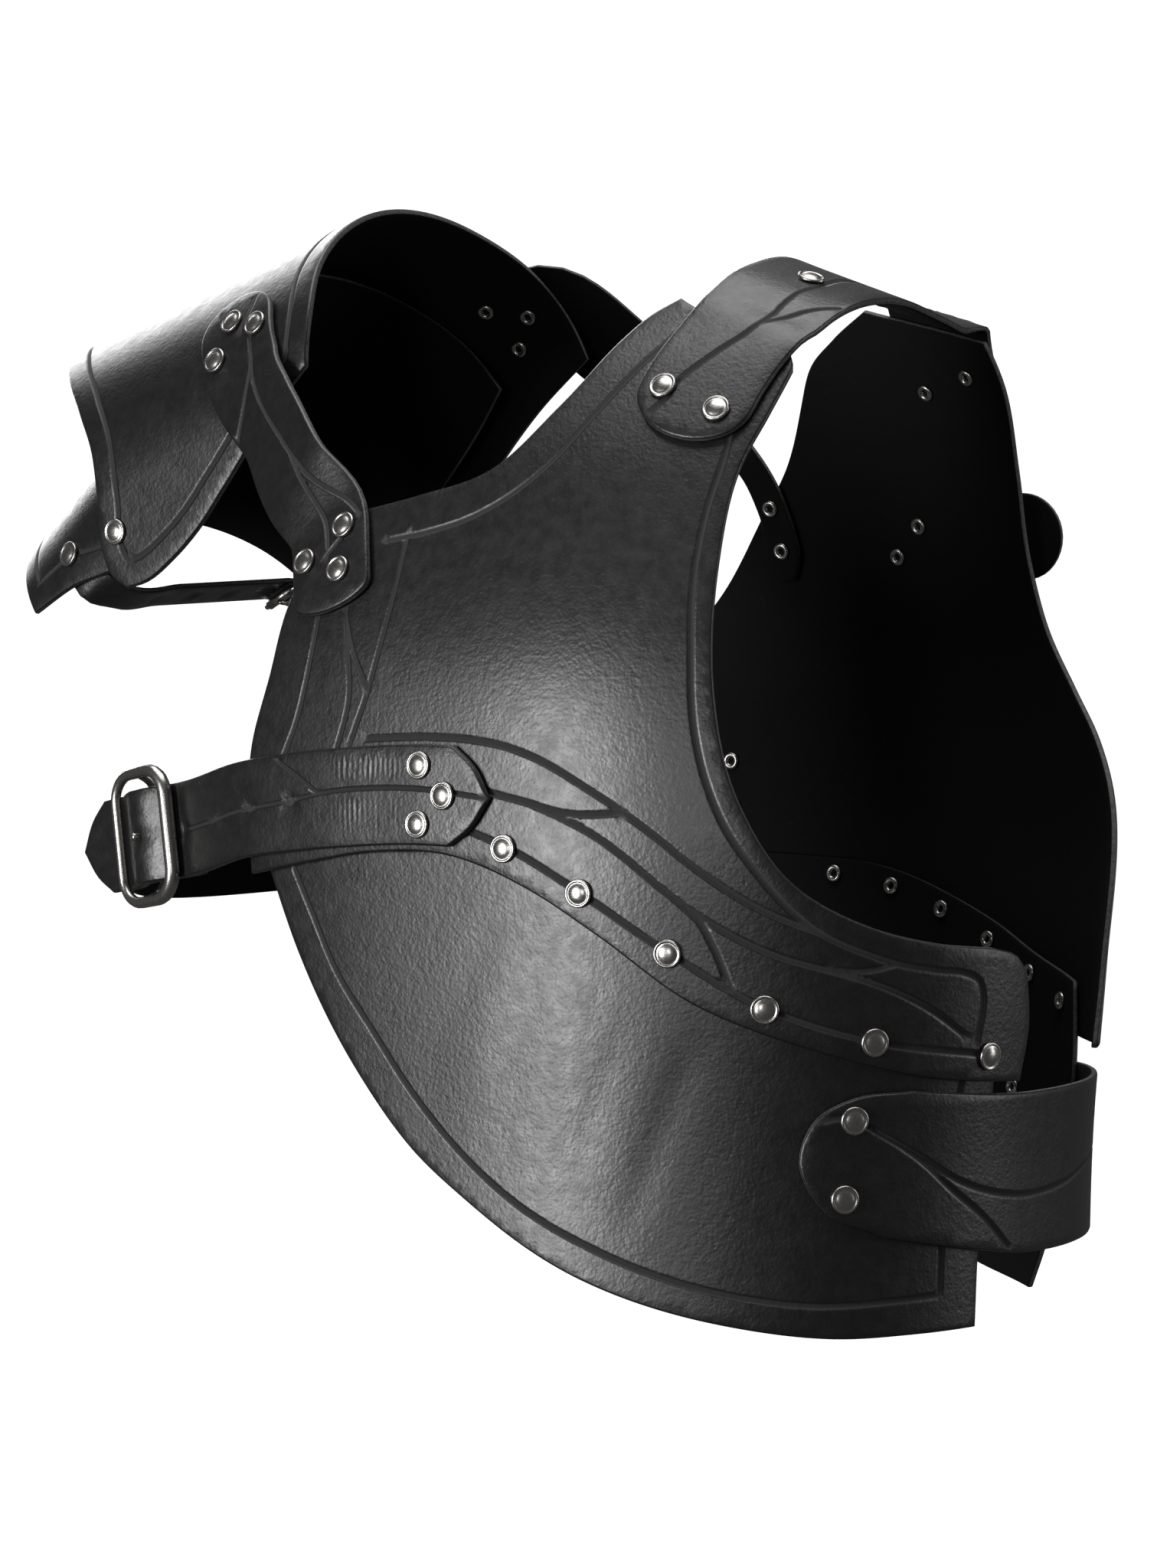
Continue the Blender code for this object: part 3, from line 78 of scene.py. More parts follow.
turn, rise = radians(CAMERA_TURN), radians(CAMERA_RISE)
camera_data = bpy.data.cameras.new("camera")
camera_data.sensor_fit = "VERTICAL"
camera_data.sensor_height = 36
camera_data.lens = 36 * PIXELS_PER_METRE * CAMERA_DISTANCE / PHOTO[1]
camera_data.clip_end = 200
camera = bpy.data.objects.new("camera", camera_data)
bpy.context.scene.collection.objects.link(camera)
target = Vector((cos(turn), sin(turn), 0)) * (PHOTO[0] / 2 - AXIS_COLUMN) / PIXELS_PER_METRE
target.z = -(PHOTO[1] / 2 - SHOULDER_ROW) / PIXELS_PER_METRE
backwards = Vector((sin(turn) * cos(rise), -cos(turn) * cos(rise), sin(rise)))
camera.location = target + backwards * CAMERA_DISTANCE
camera.rotation_euler = backwards.to_track_quat("Z", "Y").to_euler()
bpy.context.scene.camera = camera

floor_mesh = bmesh.new()
bmesh.ops.create_circle(floor_mesh, cap_ends=True, segments=64, radius=FLOOR_RADIUS)
bmesh.ops.translate(floor_mesh, verts=floor_mesh.verts[:], vec=(0, 0, -FLOOR_DROP))
floor_data = bpy.data.meshes.new("floor")
floor_mesh.to_mesh(floor_data)
floor_mesh.free()
floor = bpy.data.objects.new("floor", floor_data)
bpy.context.scene.collection.objects.link(floor)
paper = bpy.data.materials.new("white_floor_paper")
paper.use_nodes = True
sheet = paper.node_tree.nodes["Principled BSDF"]
sheet.inputs["Base Color"].default_value = linear("#f6f6f5")
sheet.inputs["Roughness"].default_value = 1.0
floor_data.materials.append(paper)
floor.visible_glossy = floor.visible_diffuse = False

room = bpy.data.worlds.new("white_room")
room.use_nodes = True
backdrop = room.node_tree.nodes["Background"]
seen = add_node(room.node_tree, "ShaderNodeLightPath")
lit = add_node(room.node_tree, "ShaderNodeMix",
               {0: seen.outputs["Is Camera Ray"], 2: ROOM_LIGHT, 3: ROOM_SEEN})
room.node_tree.links.new(lit.outputs[0], backdrop.inputs["Strength"])
backdrop.inputs["Color"].default_value = linear("#ffffff")
bpy.context.scene.world = room
bpy.context.scene.view_settings.view_transform = "Standard"


def soft_box(name, turn_deg, rise_deg, distance, width, height, power):
    """A rectangular lamp at a turn from the front to the left and a rise, facing the chest."""
    lamp = bpy.data.lights.new(name, "AREA")
    lamp.shape = "RECTANGLE"
    lamp.size, lamp.size_y, lamp.energy = width, height, power
    thing = bpy.data.objects.new(name, lamp)
    bpy.context.scene.collection.objects.link(thing)
    a, e = radians(turn_deg), radians(rise_deg)
    away = Vector((sin(a) * cos(e), -cos(a) * cos(e), sin(e)))
    thing.location = CHEST_MIDDLE + away * distance
    thing.rotation_euler = away.to_track_quat("Z", "Y").to_euler()
    thing.visible_camera = False


soft_box("key_box", -16, 0, 2.2, 0.55, 1.0, 50)
soft_box("chest_box", 16, 4, 2.6, 0.35, 0.7, 9)
soft_box("right_screen", -128, 24, 2.4, 1.6, 1.4, 46)
soft_box("left_screen", 122, 10, 2.6, 0.7, 1.6, 16)
top = bpy.data.lights.new("ceiling", "SUN")
top.energy, top.angle = 3.6, radians(60)
ceiling = bpy.data.objects.new("ceiling", top)
bpy.context.scene.collection.objects.link(ceiling)


# Breastplate: one sheet of 3 mm black vegetable-tanned leather, wet-moulded over the chest, with
# border and vine lines carved into its grain side. The band, the straps and the belly plate are
# riveted to it.
TORSO_HEIGHT = 0.465
CHEST_HALF_WIDTH = 0.205
FRONT_DEPTH, REAR_DEPTH = 0.150, 0.135
SQUARENESS = 2.5
LEATHER = 0.003
LAYER = 0.0038
METRES_PER_DEGREE = CHEST_HALF_WIDTH * 0.9 * pi / 180
INNER, OUTER, TOP = 0.0, LAYER, 2 * LAYER
CUT_STEP, CARVE_STEP, NEAR_STEP = 0.004, 0.0025, 0.0003
LATTICE, ROW_PITCH = 0.0048, 0.87
GROOVE_WIDTH, GROOVE_DEPTH = 0.0026, 0.0009
GROOVE_SPOTS = (-1.7, -1, -0.55, 0, 0.55, 1, 1.7)
RIM_MARGIN, GROOVE_MARGIN = 0.0022, 0.0012
EDGE_ROUND = 0.0010

# Level sections of the body form: drop as a share of TORSO_HEIGHT, then shares of the half width,
# of the depth in front and of the depth behind
BODY_SECTIONS = (
    (0.00, 0.86, 0.33, 0.44), (0.06, 0.88, 0.45, 0.60), (0.13, 0.89, 0.63, 0.76), (0.22, 0.90, 0.80, 0.90),
    (0.36, 0.95, 0.96, 1.00), (0.50, 1.00, 1.00, 1.00), (0.64, 0.98, 1.00, 0.95), (0.80, 0.95, 1.00, 0.93),
    (1.00, 0.94, 1.03, 0.93))


def smooth_value(rows, at, column):
    """Value of one column of a table at a place down its first column, on a smooth curve."""
    if at <= rows[0][0]:
        return rows[0][column]
    if at >= rows[-1][0]:
        return rows[-1][column]
    below = max(i for i in range(len(rows) - 1) if rows[i][0] <= at)
    before, low, high, after = (rows[min(max(i, 0), len(rows) - 1)] for i in range(below - 1, below + 3))
    step = high[0] - low[0]
    share = (at - low[0]) / step
    start = step * (high[column] - before[column]) / (high[0] - before[0])
    end = step * (after[column] - low[column]) / (after[0] - low[0])
    square, cube = share ** 2, share ** 3
    return ((2 * cube - 3 * square + 1) * low[column] + (cube - 2 * square + share) * start
            + (3 * square - 2 * cube) * high[column] + (cube - square) * end)


def smooth_run(stops, spacing):
    """Points on a smooth curve through the stops, about as far apart as the spacing."""
    stops = [Vector(stop) for stop in stops]
    legs = [(b - a).length for a, b in zip(stops, stops[1:])]
    slopes = [(b - a) / leg for a, b, leg in zip(stops, stops[1:], legs)]
    bends = [slopes[0]]
    for i in range(1, len(legs)):
        bends.append((slopes[i - 1] * legs[i] + slopes[i] * legs[i - 1]) / (legs[i - 1] + legs[i]))
    bends.append(slopes[-1])
    points = []
    for i, leg in enumerate(legs):
        count = max(1, round(leg / spacing))
        for k in range(count):
            t = k / count
            points.append(
                (2 * t ** 3 - 3 * t ** 2 + 1) * stops[i] + (t ** 3 - 2 * t ** 2 + t) * leg * bends[i]
                + (3 * t ** 2 - 2 * t ** 3) * stops[i + 1] + (t ** 3 - t ** 2) * leg * bends[i + 1])
    return points + [stops[-1]]


def joined(*runs):
    """One closed outline from runs that end where the next one starts."""
    return [point for part in runs for point in part[:-1]]


def body_skin(turn, drop):
    """Point of the body form at a turn in degrees from the front to the left, and a drop."""
    share = drop / TORSO_HEIGHT
    side, ahead = sin(radians(turn)), cos(radians(turn))
    half_width = smooth_value(BODY_SECTIONS, share, 1) * CHEST_HALF_WIDTH
    depth = (smooth_value(BODY_SECTIONS, share, 2) * FRONT_DEPTH if ahead > 0
             else smooth_value(BODY_SECTIONS, share, 3) * REAR_DEPTH)
    reach = (abs(side / half_width) ** SQUARENESS + abs(ahead / depth) ** SQUARENESS) ** (-1 / SQUARENESS)
    return Vector((reach * side, -reach * ahead, -drop))


def body_outward(turn, drop):
    """Way out of the body form at a turn and a drop."""
    across = body_skin(turn + 1, drop) - body_skin(turn - 1, drop)
    down = body_skin(turn, drop + 0.002) - body_skin(turn, drop - 0.002)
    return down.cross(across).normalized()


def body_place(point):
    """Turn and drop of the place on the body form under a point."""
    near = point.copy()
    for _ in range(4):
        turn, drop = degrees(atan2(near.x, -near.y)), -near.z
        outward = body_outward(turn, drop)
        near = point - outward * (point - body_skin(turn, drop)).dot(outward)
    return degrees(atan2(near.x, -near.y)), -near.z


def body_seat(height):
    """Seat of a flat pattern on the body form: a foot point and the way out, at any x and y."""
    def seat(x, y):
        outward = body_outward(x / METRES_PER_DEGREE, y)
        return body_skin(x / METRES_PER_DEGREE, y) + outward * height, outward
    return seat


def run(*stops, spacing=CUT_STEP):
    """A cut or a carved line, whose stops are a turn and a drop as a share of TORSO_HEIGHT."""
    return smooth_run([(turn * METRES_PER_DEGREE, share * TORSO_HEIGHT) for turn, share in stops], spacing)


def near_tree(lines, closed):
    """A search tree of close points along flat lines."""
    points = []
    for line in lines:
        pairs = zip(line, line[1:] + (line[:1] if closed else []))
        for a, b in pairs:
            count = max(1, round((b - a).length / NEAR_STEP))
            points += [a.lerp(b, k / count) for k in range(count)] + ([] if closed else [b])
    tree = kdtree.KDTree(max(1, len(points)))
    for i, point in enumerate(points):
        tree.insert((point.x, point.y, 0), i)
    tree.balance()
    return tree if points else None


def cut_leather(name, outline, seat, carved=(), holes=(), thickness=LEATHER, lattice=LATTICE, relief=None,
                stations=None, groove=GROOVE_WIDTH, node=None):
    """Cuts a piece flat, carves its lines, rounds its edges and forms it on its seat."""
    outline = [Vector(point[:2]) for point in outline]
    loops = [outline, *holes]
    carved = [[Vector(point[:2]) for point in line] for line in carved]
    rim, lines = near_tree(loops, True), near_tree(carved, False)
    spots, edges = [], []
    for loop in loops:
        start = len(spots)
        spots += loop
        edges += [(start + k, start + (k + 1) % len(loop)) for k in range(len(loop))]
    for line in carved:
        for k, point in enumerate(line):
            along = (line[min(k + 1, len(line) - 1)] - line[max(k - 1, 0)]).normalized()
            for share in GROOVE_SPOTS:
                off = share * groove / 2
                spot = point + Vector((-along.y, along.x)) * off
                flat_spot = (spot.x, spot.y, 0)
                if lines.find(flat_spot)[2] > abs(off) - 0.0002 and rim.find(flat_spot)[2] > 0.0019:
                    spots.append(spot)
    low = Vector((min(p.x for p in outline), min(p.y for p in outline)))
    high = Vector((max(p.x for p in outline), max(p.y for p in outline)))
    columns = stations or [low.x + lattice * k for k in range(int((high.x - low.x) / lattice) + 2)]
    rows = int((high.y - low.y) / (lattice * ROW_PITCH)) + 2
    for i in range(rows):
        for k, x in enumerate(columns):
            step = (columns[k + 1] - x) if k + 1 < len(columns) else 0
            spot = Vector((x + step * 0.5 * (i % 2), low.y + (i + 0.5) * lattice * ROW_PITCH, 0))
            off_lines = not lines or lines.find(spot)[2] > groove * 0.85 + GROOVE_MARGIN
            if off_lines and rim.find(spot)[2] > RIM_MARGIN:
                spots.append(spot.xy)
    flat, _, faces, *_ = delaunay_2d_cdt(spots, edges, [], 2, 1e-6)
    mesh = bmesh.new()
    corners = [mesh.verts.new((point.x, point.y, 0)) for point in flat]
    for face in faces:
        mesh.faces.new([corners[i] for i in face])
    bmesh.ops.delete(mesh, geom=[v for v in mesh.verts if not v.link_faces], context="VERTS")
    sheet = mesh.faces[:]
    for width in (EDGE_ROUND * 0.3, EDGE_ROUND * 0.7):
        bmesh.ops.inset_region(mesh, faces=sheet, thickness=width, use_even_offset=True, use_boundary=True)
    mark = mesh.verts.layers.float.new("carved")
    raised = bmesh.ops.extrude_face_region(mesh, geom=mesh.faces[:], use_keep_orig=True)["geom"]
    raised = {v for v in raised if isinstance(v, bmesh.types.BMVert)}
    seats = {}
    for v in mesh.verts:
        x, y = v.co.x, v.co.y
        from_rim = rim.find((x, y, 0))[2] / EDGE_ROUND
        rounding = EDGE_ROUND * (0.85 if from_rim < 0.15 else 0.25 if from_rim < 0.6 else 0)
        if v in raised:
            depth = thickness - rounding
            if lines:
                away = lines.find((x, y, 0))[2] / (groove / 2)
                share = max(0.0, 1 - away * away)
                v[mark] = min(1.0, share * 1.6)
                depth -= GROOVE_DEPTH * share ** 0.8
        else:
            depth = rounding * 0.6
        key = (round(x, 6), round(y, 6))
        if key not in seats:
            seats[key] = seat(x, y)
        foot, outward = seats[key]
        if relief:
            depth += relief(x, y)
        v.co = foot + outward * depth
    for face in mesh.faces:
        up = sum(v in raised for v in face.verts)
        face.material_index = 0 if up == len(face.verts) else 1 if up == 0 else 2
    bmesh.ops.recalc_face_normals(mesh, faces=mesh.faces[:])
    return add_piece(name, mesh, (GRAIN, FLESH, CUT_EDGE), "black_leather", node)


def add_piece(name, mesh, materials, slot, *nodes):
    """Turns a bmesh into a shown piece that rides on the cuirass and stands for its CAD nodes."""
    data = bpy.data.meshes.new(name)
    if mesh.calc_volume(signed=True) < 0:
        bmesh.ops.reverse_faces(mesh, faces=mesh.faces[:])
    mesh.to_mesh(data)
    mesh.free()
    for material in materials:
        data.materials.append(material)
    data.shade_smooth()
    thing = bpy.data.objects.new(name, data)
    bpy.context.scene.collection.objects.link(thing)
    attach(thing, "root")
    nodes = [node for node in nodes if node]
    if nodes:
        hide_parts(*nodes)
    return thing


def new_material(name, colour, roughness, metallic=0.0):
    """A material, its node tree and its shader."""
    material = bpy.data.materials.new(name)
    material.use_nodes = True
    shader = material.node_tree.nodes["Principled BSDF"]
    shader.inputs["Base Color"].default_value = linear(colour)
    shader.inputs["Roughness"].default_value = roughness
    shader.inputs["Metallic"].default_value = metallic
    return material, material.node_tree, shader


# Grain side of waxed vegetable-tanned leather, dyed black: a satin gloss broken by pores about
# 1.4 mm apart and by cloudy patches about 6 mm wide; the carved lines show raw matte fibre.
PORE = 0.0014
CLOUD = 0.006
GRAIN, tree, shader = new_material("waxed_black_grain", "#0b0b0b", 0.4)
place = add_node(tree, "ShaderNodeTexCoord").outputs["Object"]
pores = add_node(tree, "ShaderNodeTexVoronoi", {"Vector": place, "Scale": 1 / PORE, "Randomness": 1.0})
fibres = add_node(tree, "ShaderNodeTexNoise", {"Vector": place, "Scale": 1 / (PORE * 1.6), "Detail": 4.0})
clouds = add_node(tree, "ShaderNodeTexNoise", {"Vector": place, "Scale": 1 / CLOUD, "Detail": 5.0,
                                               "Roughness": 0.62})
carved = add_node(tree, "ShaderNodeAttribute", attribute_name="carved")
tint = add_node(tree, "ShaderNodeMix", {0: clouds.outputs["Fac"], 6: linear("#080808"), 7: linear("#0f0f0f")},
                data_type="RGBA")
dye = add_node(tree, "ShaderNodeMix", {0: carved.outputs["Fac"], 6: tint.outputs[2], 7: linear("#1d1d1d")},
               data_type="RGBA")
gloss = add_node(tree, "ShaderNodeMapRange", {0: clouds.outputs["Fac"], 1: 0.3, 2: 0.7, 3: 0.34, 4: 0.44})
matte = add_node(tree, "ShaderNodeMix", {0: carved.outputs["Fac"], 2: gloss.outputs[0], 3: 0.9})
relief = add_node(tree, "ShaderNodeMath", {0: pores.outputs["Distance"], 1: 0.35}, operation="MULTIPLY")
relief = add_node(tree, "ShaderNodeMath", {0: relief.outputs[0], 1: fibres.outputs["Fac"]}, operation="ADD")
fine = add_node(tree, "ShaderNodeBump", {"Height": relief.outputs[0], "Strength": 0.5, "Distance": 0.0003})
soft = add_node(tree, "ShaderNodeBump", {"Height": clouds.outputs["Fac"], "Strength": 0.3, "Distance": 0.0004,
                                         "Normal": fine.outputs[0]})
tree.links.new(dye.outputs[2], shader.inputs["Base Color"])
tree.links.new(matte.outputs[0], shader.inputs["Roughness"])
tree.links.new(soft.outputs[0], shader.inputs["Normal"])

# Flesh side: dyed but unwaxed, a dull nap of loose fibres about 1 mm long, with specks 4 mm apart
# where the dye has missed some
NAP, SPECK = 0.0011, 0.004
FLESH, tree, shader = new_material("napped_black_flesh", "#121212", 0.92)
shader.inputs["Specular IOR Level"].default_value = 0.12
place = add_node(tree, "ShaderNodeTexCoord").outputs["Object"]
nap = add_node(tree, "ShaderNodeTexNoise", {"Vector": place, "Scale": 1 / NAP, "Detail": 6.0,
                                            "Roughness": 0.7})
specks = add_node(tree, "ShaderNodeTexNoise", {"Vector": place, "Scale": 1 / SPECK, "Detail": 8.0,
                                               "Roughness": 0.8})
tone = add_node(tree, "ShaderNodeMapRange", {0: specks.outputs["Fac"], 1: 0.62, 2: 0.8, 3: 0.0, 4: 1.0})
dye = add_node(tree, "ShaderNodeMix", {0: tone.outputs[0], 6: linear("#0d0d0d"), 7: linear("#2e2c2b")},
               data_type="RGBA")
fuzz = add_node(tree, "ShaderNodeBump", {"Height": nap.outputs["Fac"], "Strength": 0.7, "Distance": 0.0006})
tree.links.new(dye.outputs[2], shader.inputs["Base Color"])
tree.links.new(fuzz.outputs[0], shader.inputs["Normal"])

# Cut edge: black dye on raw fibre, rubbed smooth by hand, so it is grey and fuzzy in places, in
# spots about 1.5 mm wide
FRAY = 0.0015
CUT_EDGE, tree, shader = new_material("dyed_cut_edge", "#242322", 0.7)
place = add_node(tree, "ShaderNodeTexCoord").outputs["Object"]
fray = add_node(tree, "ShaderNodeTexNoise", {"Vector": place, "Scale": 1 / FRAY, "Detail": 6.0,
                                             "Roughness": 0.75})
tone = add_node(tree, "ShaderNodeMapRange", {0: fray.outputs["Fac"], 1: 0.35, 2: 0.75, 3: 0.0, 4: 1.0})
dye = add_node(tree, "ShaderNodeMix", {0: tone.outputs[0], 6: linear("#1a1a1a"), 7: linear("#5a5855")},
               data_type="RGBA")
fuzz = add_node(tree, "ShaderNodeBump", {"Height": fray.outputs["Fac"], "Strength": 0.6, "Distance": 0.0005})
tree.links.new(dye.outputs[2], shader.inputs["Base Color"])
tree.links.new(fuzz.outputs[0], shader.inputs["Normal"])

breast_hem = run((83, 0.729), (70, 0.721), (56, 0.696), (42, 0.657), (30, 0.601), (21, 0.567), (7, 0.537),
                 (-8, 0.535), (-20, 0.545), (-32, 0.558))
breast_outline = joined(
    run((47, 0.060), (39, 0.077), (32, 0.099), (19, 0.156), (8, 0.204), (-9, 0.229), (-20, 0.240)),
    run((-20, 0.240), (-27, 0.262), (-30, 0.319), (-30.5, 0.380), (-33, 0.452), (-33, 0.500), (-32, 0.558)),
    list(reversed(breast_hem)),
    run((83, 0.729), (84, 0.680), (83, 0.636)),
    run((83, 0.636), (81, 0.620), (77, 0.612)),
    run((77, 0.612), (69, 0.606), (62, 0.593), (53, 0.556), (47, 0.487), (44.5, 0.400), (46, 0.290),
        (50, 0.211), (55, 0.165), (59.5, 0.127)),
    run((59.5, 0.127), (60, 0.114), (57.5, 0.103)),
    run((57.5, 0.103), (52, 0.081), (47, 0.060)))
breast_lines = [run(*stops, spacing=CARVE_STEP) for stops in (
    ((47.0, 0.082), (43.2, 0.098), (36.0, 0.124), (28.0, 0.161), (19.9, 0.203), (11.8, 0.233), (4.7, 0.250),
     (-4.2, 0.262), (-13.0, 0.269)),
    ((51.5, 0.150), (48.1, 0.204), (45.4, 0.243), (42.7, 0.307), (42.0, 0.364), (42.2, 0.428), (43.5, 0.471),
     (45.7, 0.510), (49.1, 0.546), (52.5, 0.575), (55.9, 0.596), (60.7, 0.613), (64.7, 0.623), (69.2, 0.629),
     (73.2, 0.633), (75.0, 0.640), (75.5, 0.650), (75.1, 0.690)),
    ((-9.6, 0.437), (2.3, 0.435), (9.9, 0.437), (16.3, 0.443), (22.0, 0.455), (28.0, 0.475), (32.8, 0.494),
     (37.4, 0.516), (42.1, 0.542), (49.2, 0.575), (53.0, 0.588), (55.9, 0.596)),
    ((12.0, 0.480), (19.8, 0.490), (25.1, 0.498), (29.5, 0.499), (33.6, 0.497)),
    ((19.8, 0.490), (24.5, 0.501), (29.5, 0.516), (33.6, 0.534), (37.4, 0.555), (42.6, 0.582), (50.9, 0.614),
     (58.5, 0.631), (62.9, 0.642), (68.7, 0.663), (73.0, 0.684)),
    ((56.5, 0.627), (61.2, 0.628), (64.2, 0.623)),
    ((40.6, 0.573), (42.6, 0.586), (44.2, 0.606), (46.4, 0.645)),
    ((10.2, 0.515), (17.2, 0.530), (28.0, 0.566), (39.0, 0.613), (50.0, 0.659), (62.0, 0.688), (75.6, 0.702)),
    ((-22.8, 0.331), (-22.5, 0.363), (-22.8, 0.392), (-23.7, 0.420), (-26.5, 0.460)),
    ((-17.3, 0.331), (-13.8, 0.404), (-16.0, 0.455)),
    ((-8.6, 0.264), (-8.2, 0.315), (-9.0, 0.363), (-10.2, 0.397), (-12.8, 0.438)),
    ((-17.0, 0.335), (-14.3, 0.363), (-10.3, 0.395)))]
cut_leather("carved_breastplate", breast_outline, body_seat(OUTER), breast_lines, node="breastplate")


# Belly plate: a second moulded sheet riveted under the breastplate's hem. It hangs by its top
# edge, so soft creases run down it, and one border line follows its long curved hem.
PLATE_OVERLAP = 0.022
overlap = PLATE_OVERLAP / TORSO_HEIGHT
belly_outline = joined(
    run((-30, 0.549), (-14, 0.532), (0, 0.530), (9, 0.512), (17, 0.546 - overlap), (30, 0.596 - overlap),
        (42, 0.654 - overlap), (56, 0.694 - overlap), (70, 0.719 - overlap), (80, 0.727 - overlap)),
    run((80, 0.727 - overlap), (79, 0.800), (78, 0.871), (77.5, 0.939)),
    run((77.5, 0.939), (68, 0.940), (58, 0.940), (46, 0.929), (27, 0.894), (8, 0.832), (-2, 0.792),
        (-14, 0.718), (-24, 0.628), (-30, 0.549)))
belly_lines = [run(*stops, spacing=CARVE_STEP) for stops in (
    ((-24.6, 0.552), (-21.2, 0.590), (-16.9, 0.637), (-9.6, 0.690), (-2.6, 0.738), (5.9, 0.785),
     (18.7, 0.838), (27.6, 0.864), (35.7, 0.884), (46.3, 0.903), (56.5, 0.912), (63.6, 0.911), (71.7, 0.908)),
    ((71.7, 0.908), (71.9, 0.864), (71.8, 0.782), (73.6, 0.744), (74.6, 0.712)))]
# Soft creases: place at the top and at the bottom as a turn and a share, width in degrees, depth
BELLY_CREASES = (
    (43.0, 0.67, 33.0, 0.86, 2.2, 0.0006), (16.0, 0.56, 4.0, 0.70, 3.0, 0.0002),
    (24.0, 0.60, 13.0, 0.76, 3.4, 0.0003), (34.0, 0.66, 25.0, 0.82, 1.6, 0.0002),
    (56.0, 0.72, 50.0, 0.90, 3.5, 0.0003))


def belly_relief(x, y):
    """How far the hanging sheet waves in and out."""
    turn, share = x / METRES_PER_DEGREE, y / TORSO_HEIGHT
    wave = 0.0
    for top_turn, top_share, low_turn, low_share, width, depth in BELLY_CREASES:
        t = (share - top_share) / (low_share - top_share)
        across = (turn - (top_turn + (low_turn - top_turn) * t)) / width
        fade = exp(-((t - 0.5) / 0.42) ** 4)
        wave -= depth * exp(-across ** 2) * fade
    return wave + 0.0003 * noise.noise((x * 26, y * 14, 3.0))


cut_leather("carved_belly_plate", belly_outline, body_seat(INNER), belly_lines, relief=belly_relief,
            node="belly_plate")


# Back plate and lower back plate: the same leather moulded over the back and riveted in the same
# way. Only their flesh sides face the camera; a border line follows their outer edges.
def border(outline, margin):
    """A carved line a margin inside a closed outline."""
    loop = [Vector(point[:2]) for point in outline]
    area = sum(a.x * b.y - b.x * a.y for a, b in zip(loop, loop[1:] + loop[:1]))
    sense = 1 if area > 0 else -1
    line = []
    tree = near_tree([loop], True)
    for k in range(len(loop)):
        along = (loop[(k + 2) % len(loop)] - loop[(k - 2) % len(loop)]).normalized()
        spot = loop[k % len(loop)] + Vector((-along.y, along.x)) * margin * sense
        if tree.find((spot.x, spot.y, 0))[2] > margin * 0.93:
            if not line or (spot - line[-1]).length > CARVE_STEP:
                line.append(spot)
    return smooth_run(line, CARVE_STEP)


back_hem = run((104, 0.712), (121, 0.706), (129, 0.684), (138, 0.656), (148, 0.629), (159, 0.609),
               (172, 0.599), (190, 0.594), (210, 0.588), (228, 0.584))
back_outline = joined(
    run((139, 0.050), (153, 0.074), (164, 0.098), (181, 0.193), (187, 0.226), (199, 0.309), (212, 0.380),
        (224, 0.430)),
    run((224, 0.430), (229, 0.460), (229, 0.520), (228, 0.584)),
    list(reversed(back_hem)),
    run((104, 0.712), (106, 0.653), (109, 0.562), (113, 0.492), (118, 0.443), (124, 0.396), (129, 0.340),
        (130, 0.284), (127, 0.199), (122, 0.125), (120, 0.084)),
    run((120, 0.084), (129, 0.066), (139, 0.050)))
cut_leather("carved_back_plate", back_outline, body_seat(OUTER), [border(back_outline, 0.013)],
            node="back_plate")
lower_back_outline = joined(
    run((118, 0.661), (128, 0.641), (137, 0.614), (146, 0.592), (157, 0.571), (165, 0.562), (177, 0.558),
        (187, 0.556), (205, 0.552), (226, 0.549)),
    run((226, 0.549), (221, 0.600), (206, 0.673), (190, 0.761), (172, 0.835), (153, 0.894), (140, 0.930),
        (127, 0.949)),
    run((127, 0.949), (123, 0.900), (117, 0.800), (116, 0.740), (118, 0.661)))
cut_leather("carved_lower_back_plate", lower_back_outline, body_seat(INNER),
            [border(lower_back_outline, 0.014)], node="lower_back_plate")


# Side band: a short wide strap riveted to both hanging plates, round the left hip, with a carved
# line that forks like a vine.
side_band_outline = joined(
    run((67, 0.731), (82, 0.739), (100, 0.738), (116, 0.734), (132, 0.737)),
    run((132, 0.737), (137, 0.758), (138, 0.798), (137, 0.840), (132, 0.862)),
    run((132, 0.862), (116, 0.872), (100, 0.880), (86, 0.880), (72, 0.866), (64, 0.855)),
    run((64, 0.855), (57, 0.832), (54, 0.790), (56, 0.752), (60, 0.736), (67, 0.731)))
side_band_lines = [run(*stops, spacing=CARVE_STEP) for stops in (
    ((55.2, 0.757), (59.4, 0.752), (63.0, 0.766), (68.1, 0.788), (74.0, 0.812), (83.3, 0.828), (92.8, 0.826),
     (104.0, 0.808), (118.0, 0.790), (130.0, 0.770)),
    ((66.0, 0.779), (68.1, 0.790), (72.6, 0.818), (77.9, 0.846), (82.0, 0.872)))]
cut_leather("carved_side_band", side_band_outline, body_seat(OUTER), side_band_lines, node="side_band")


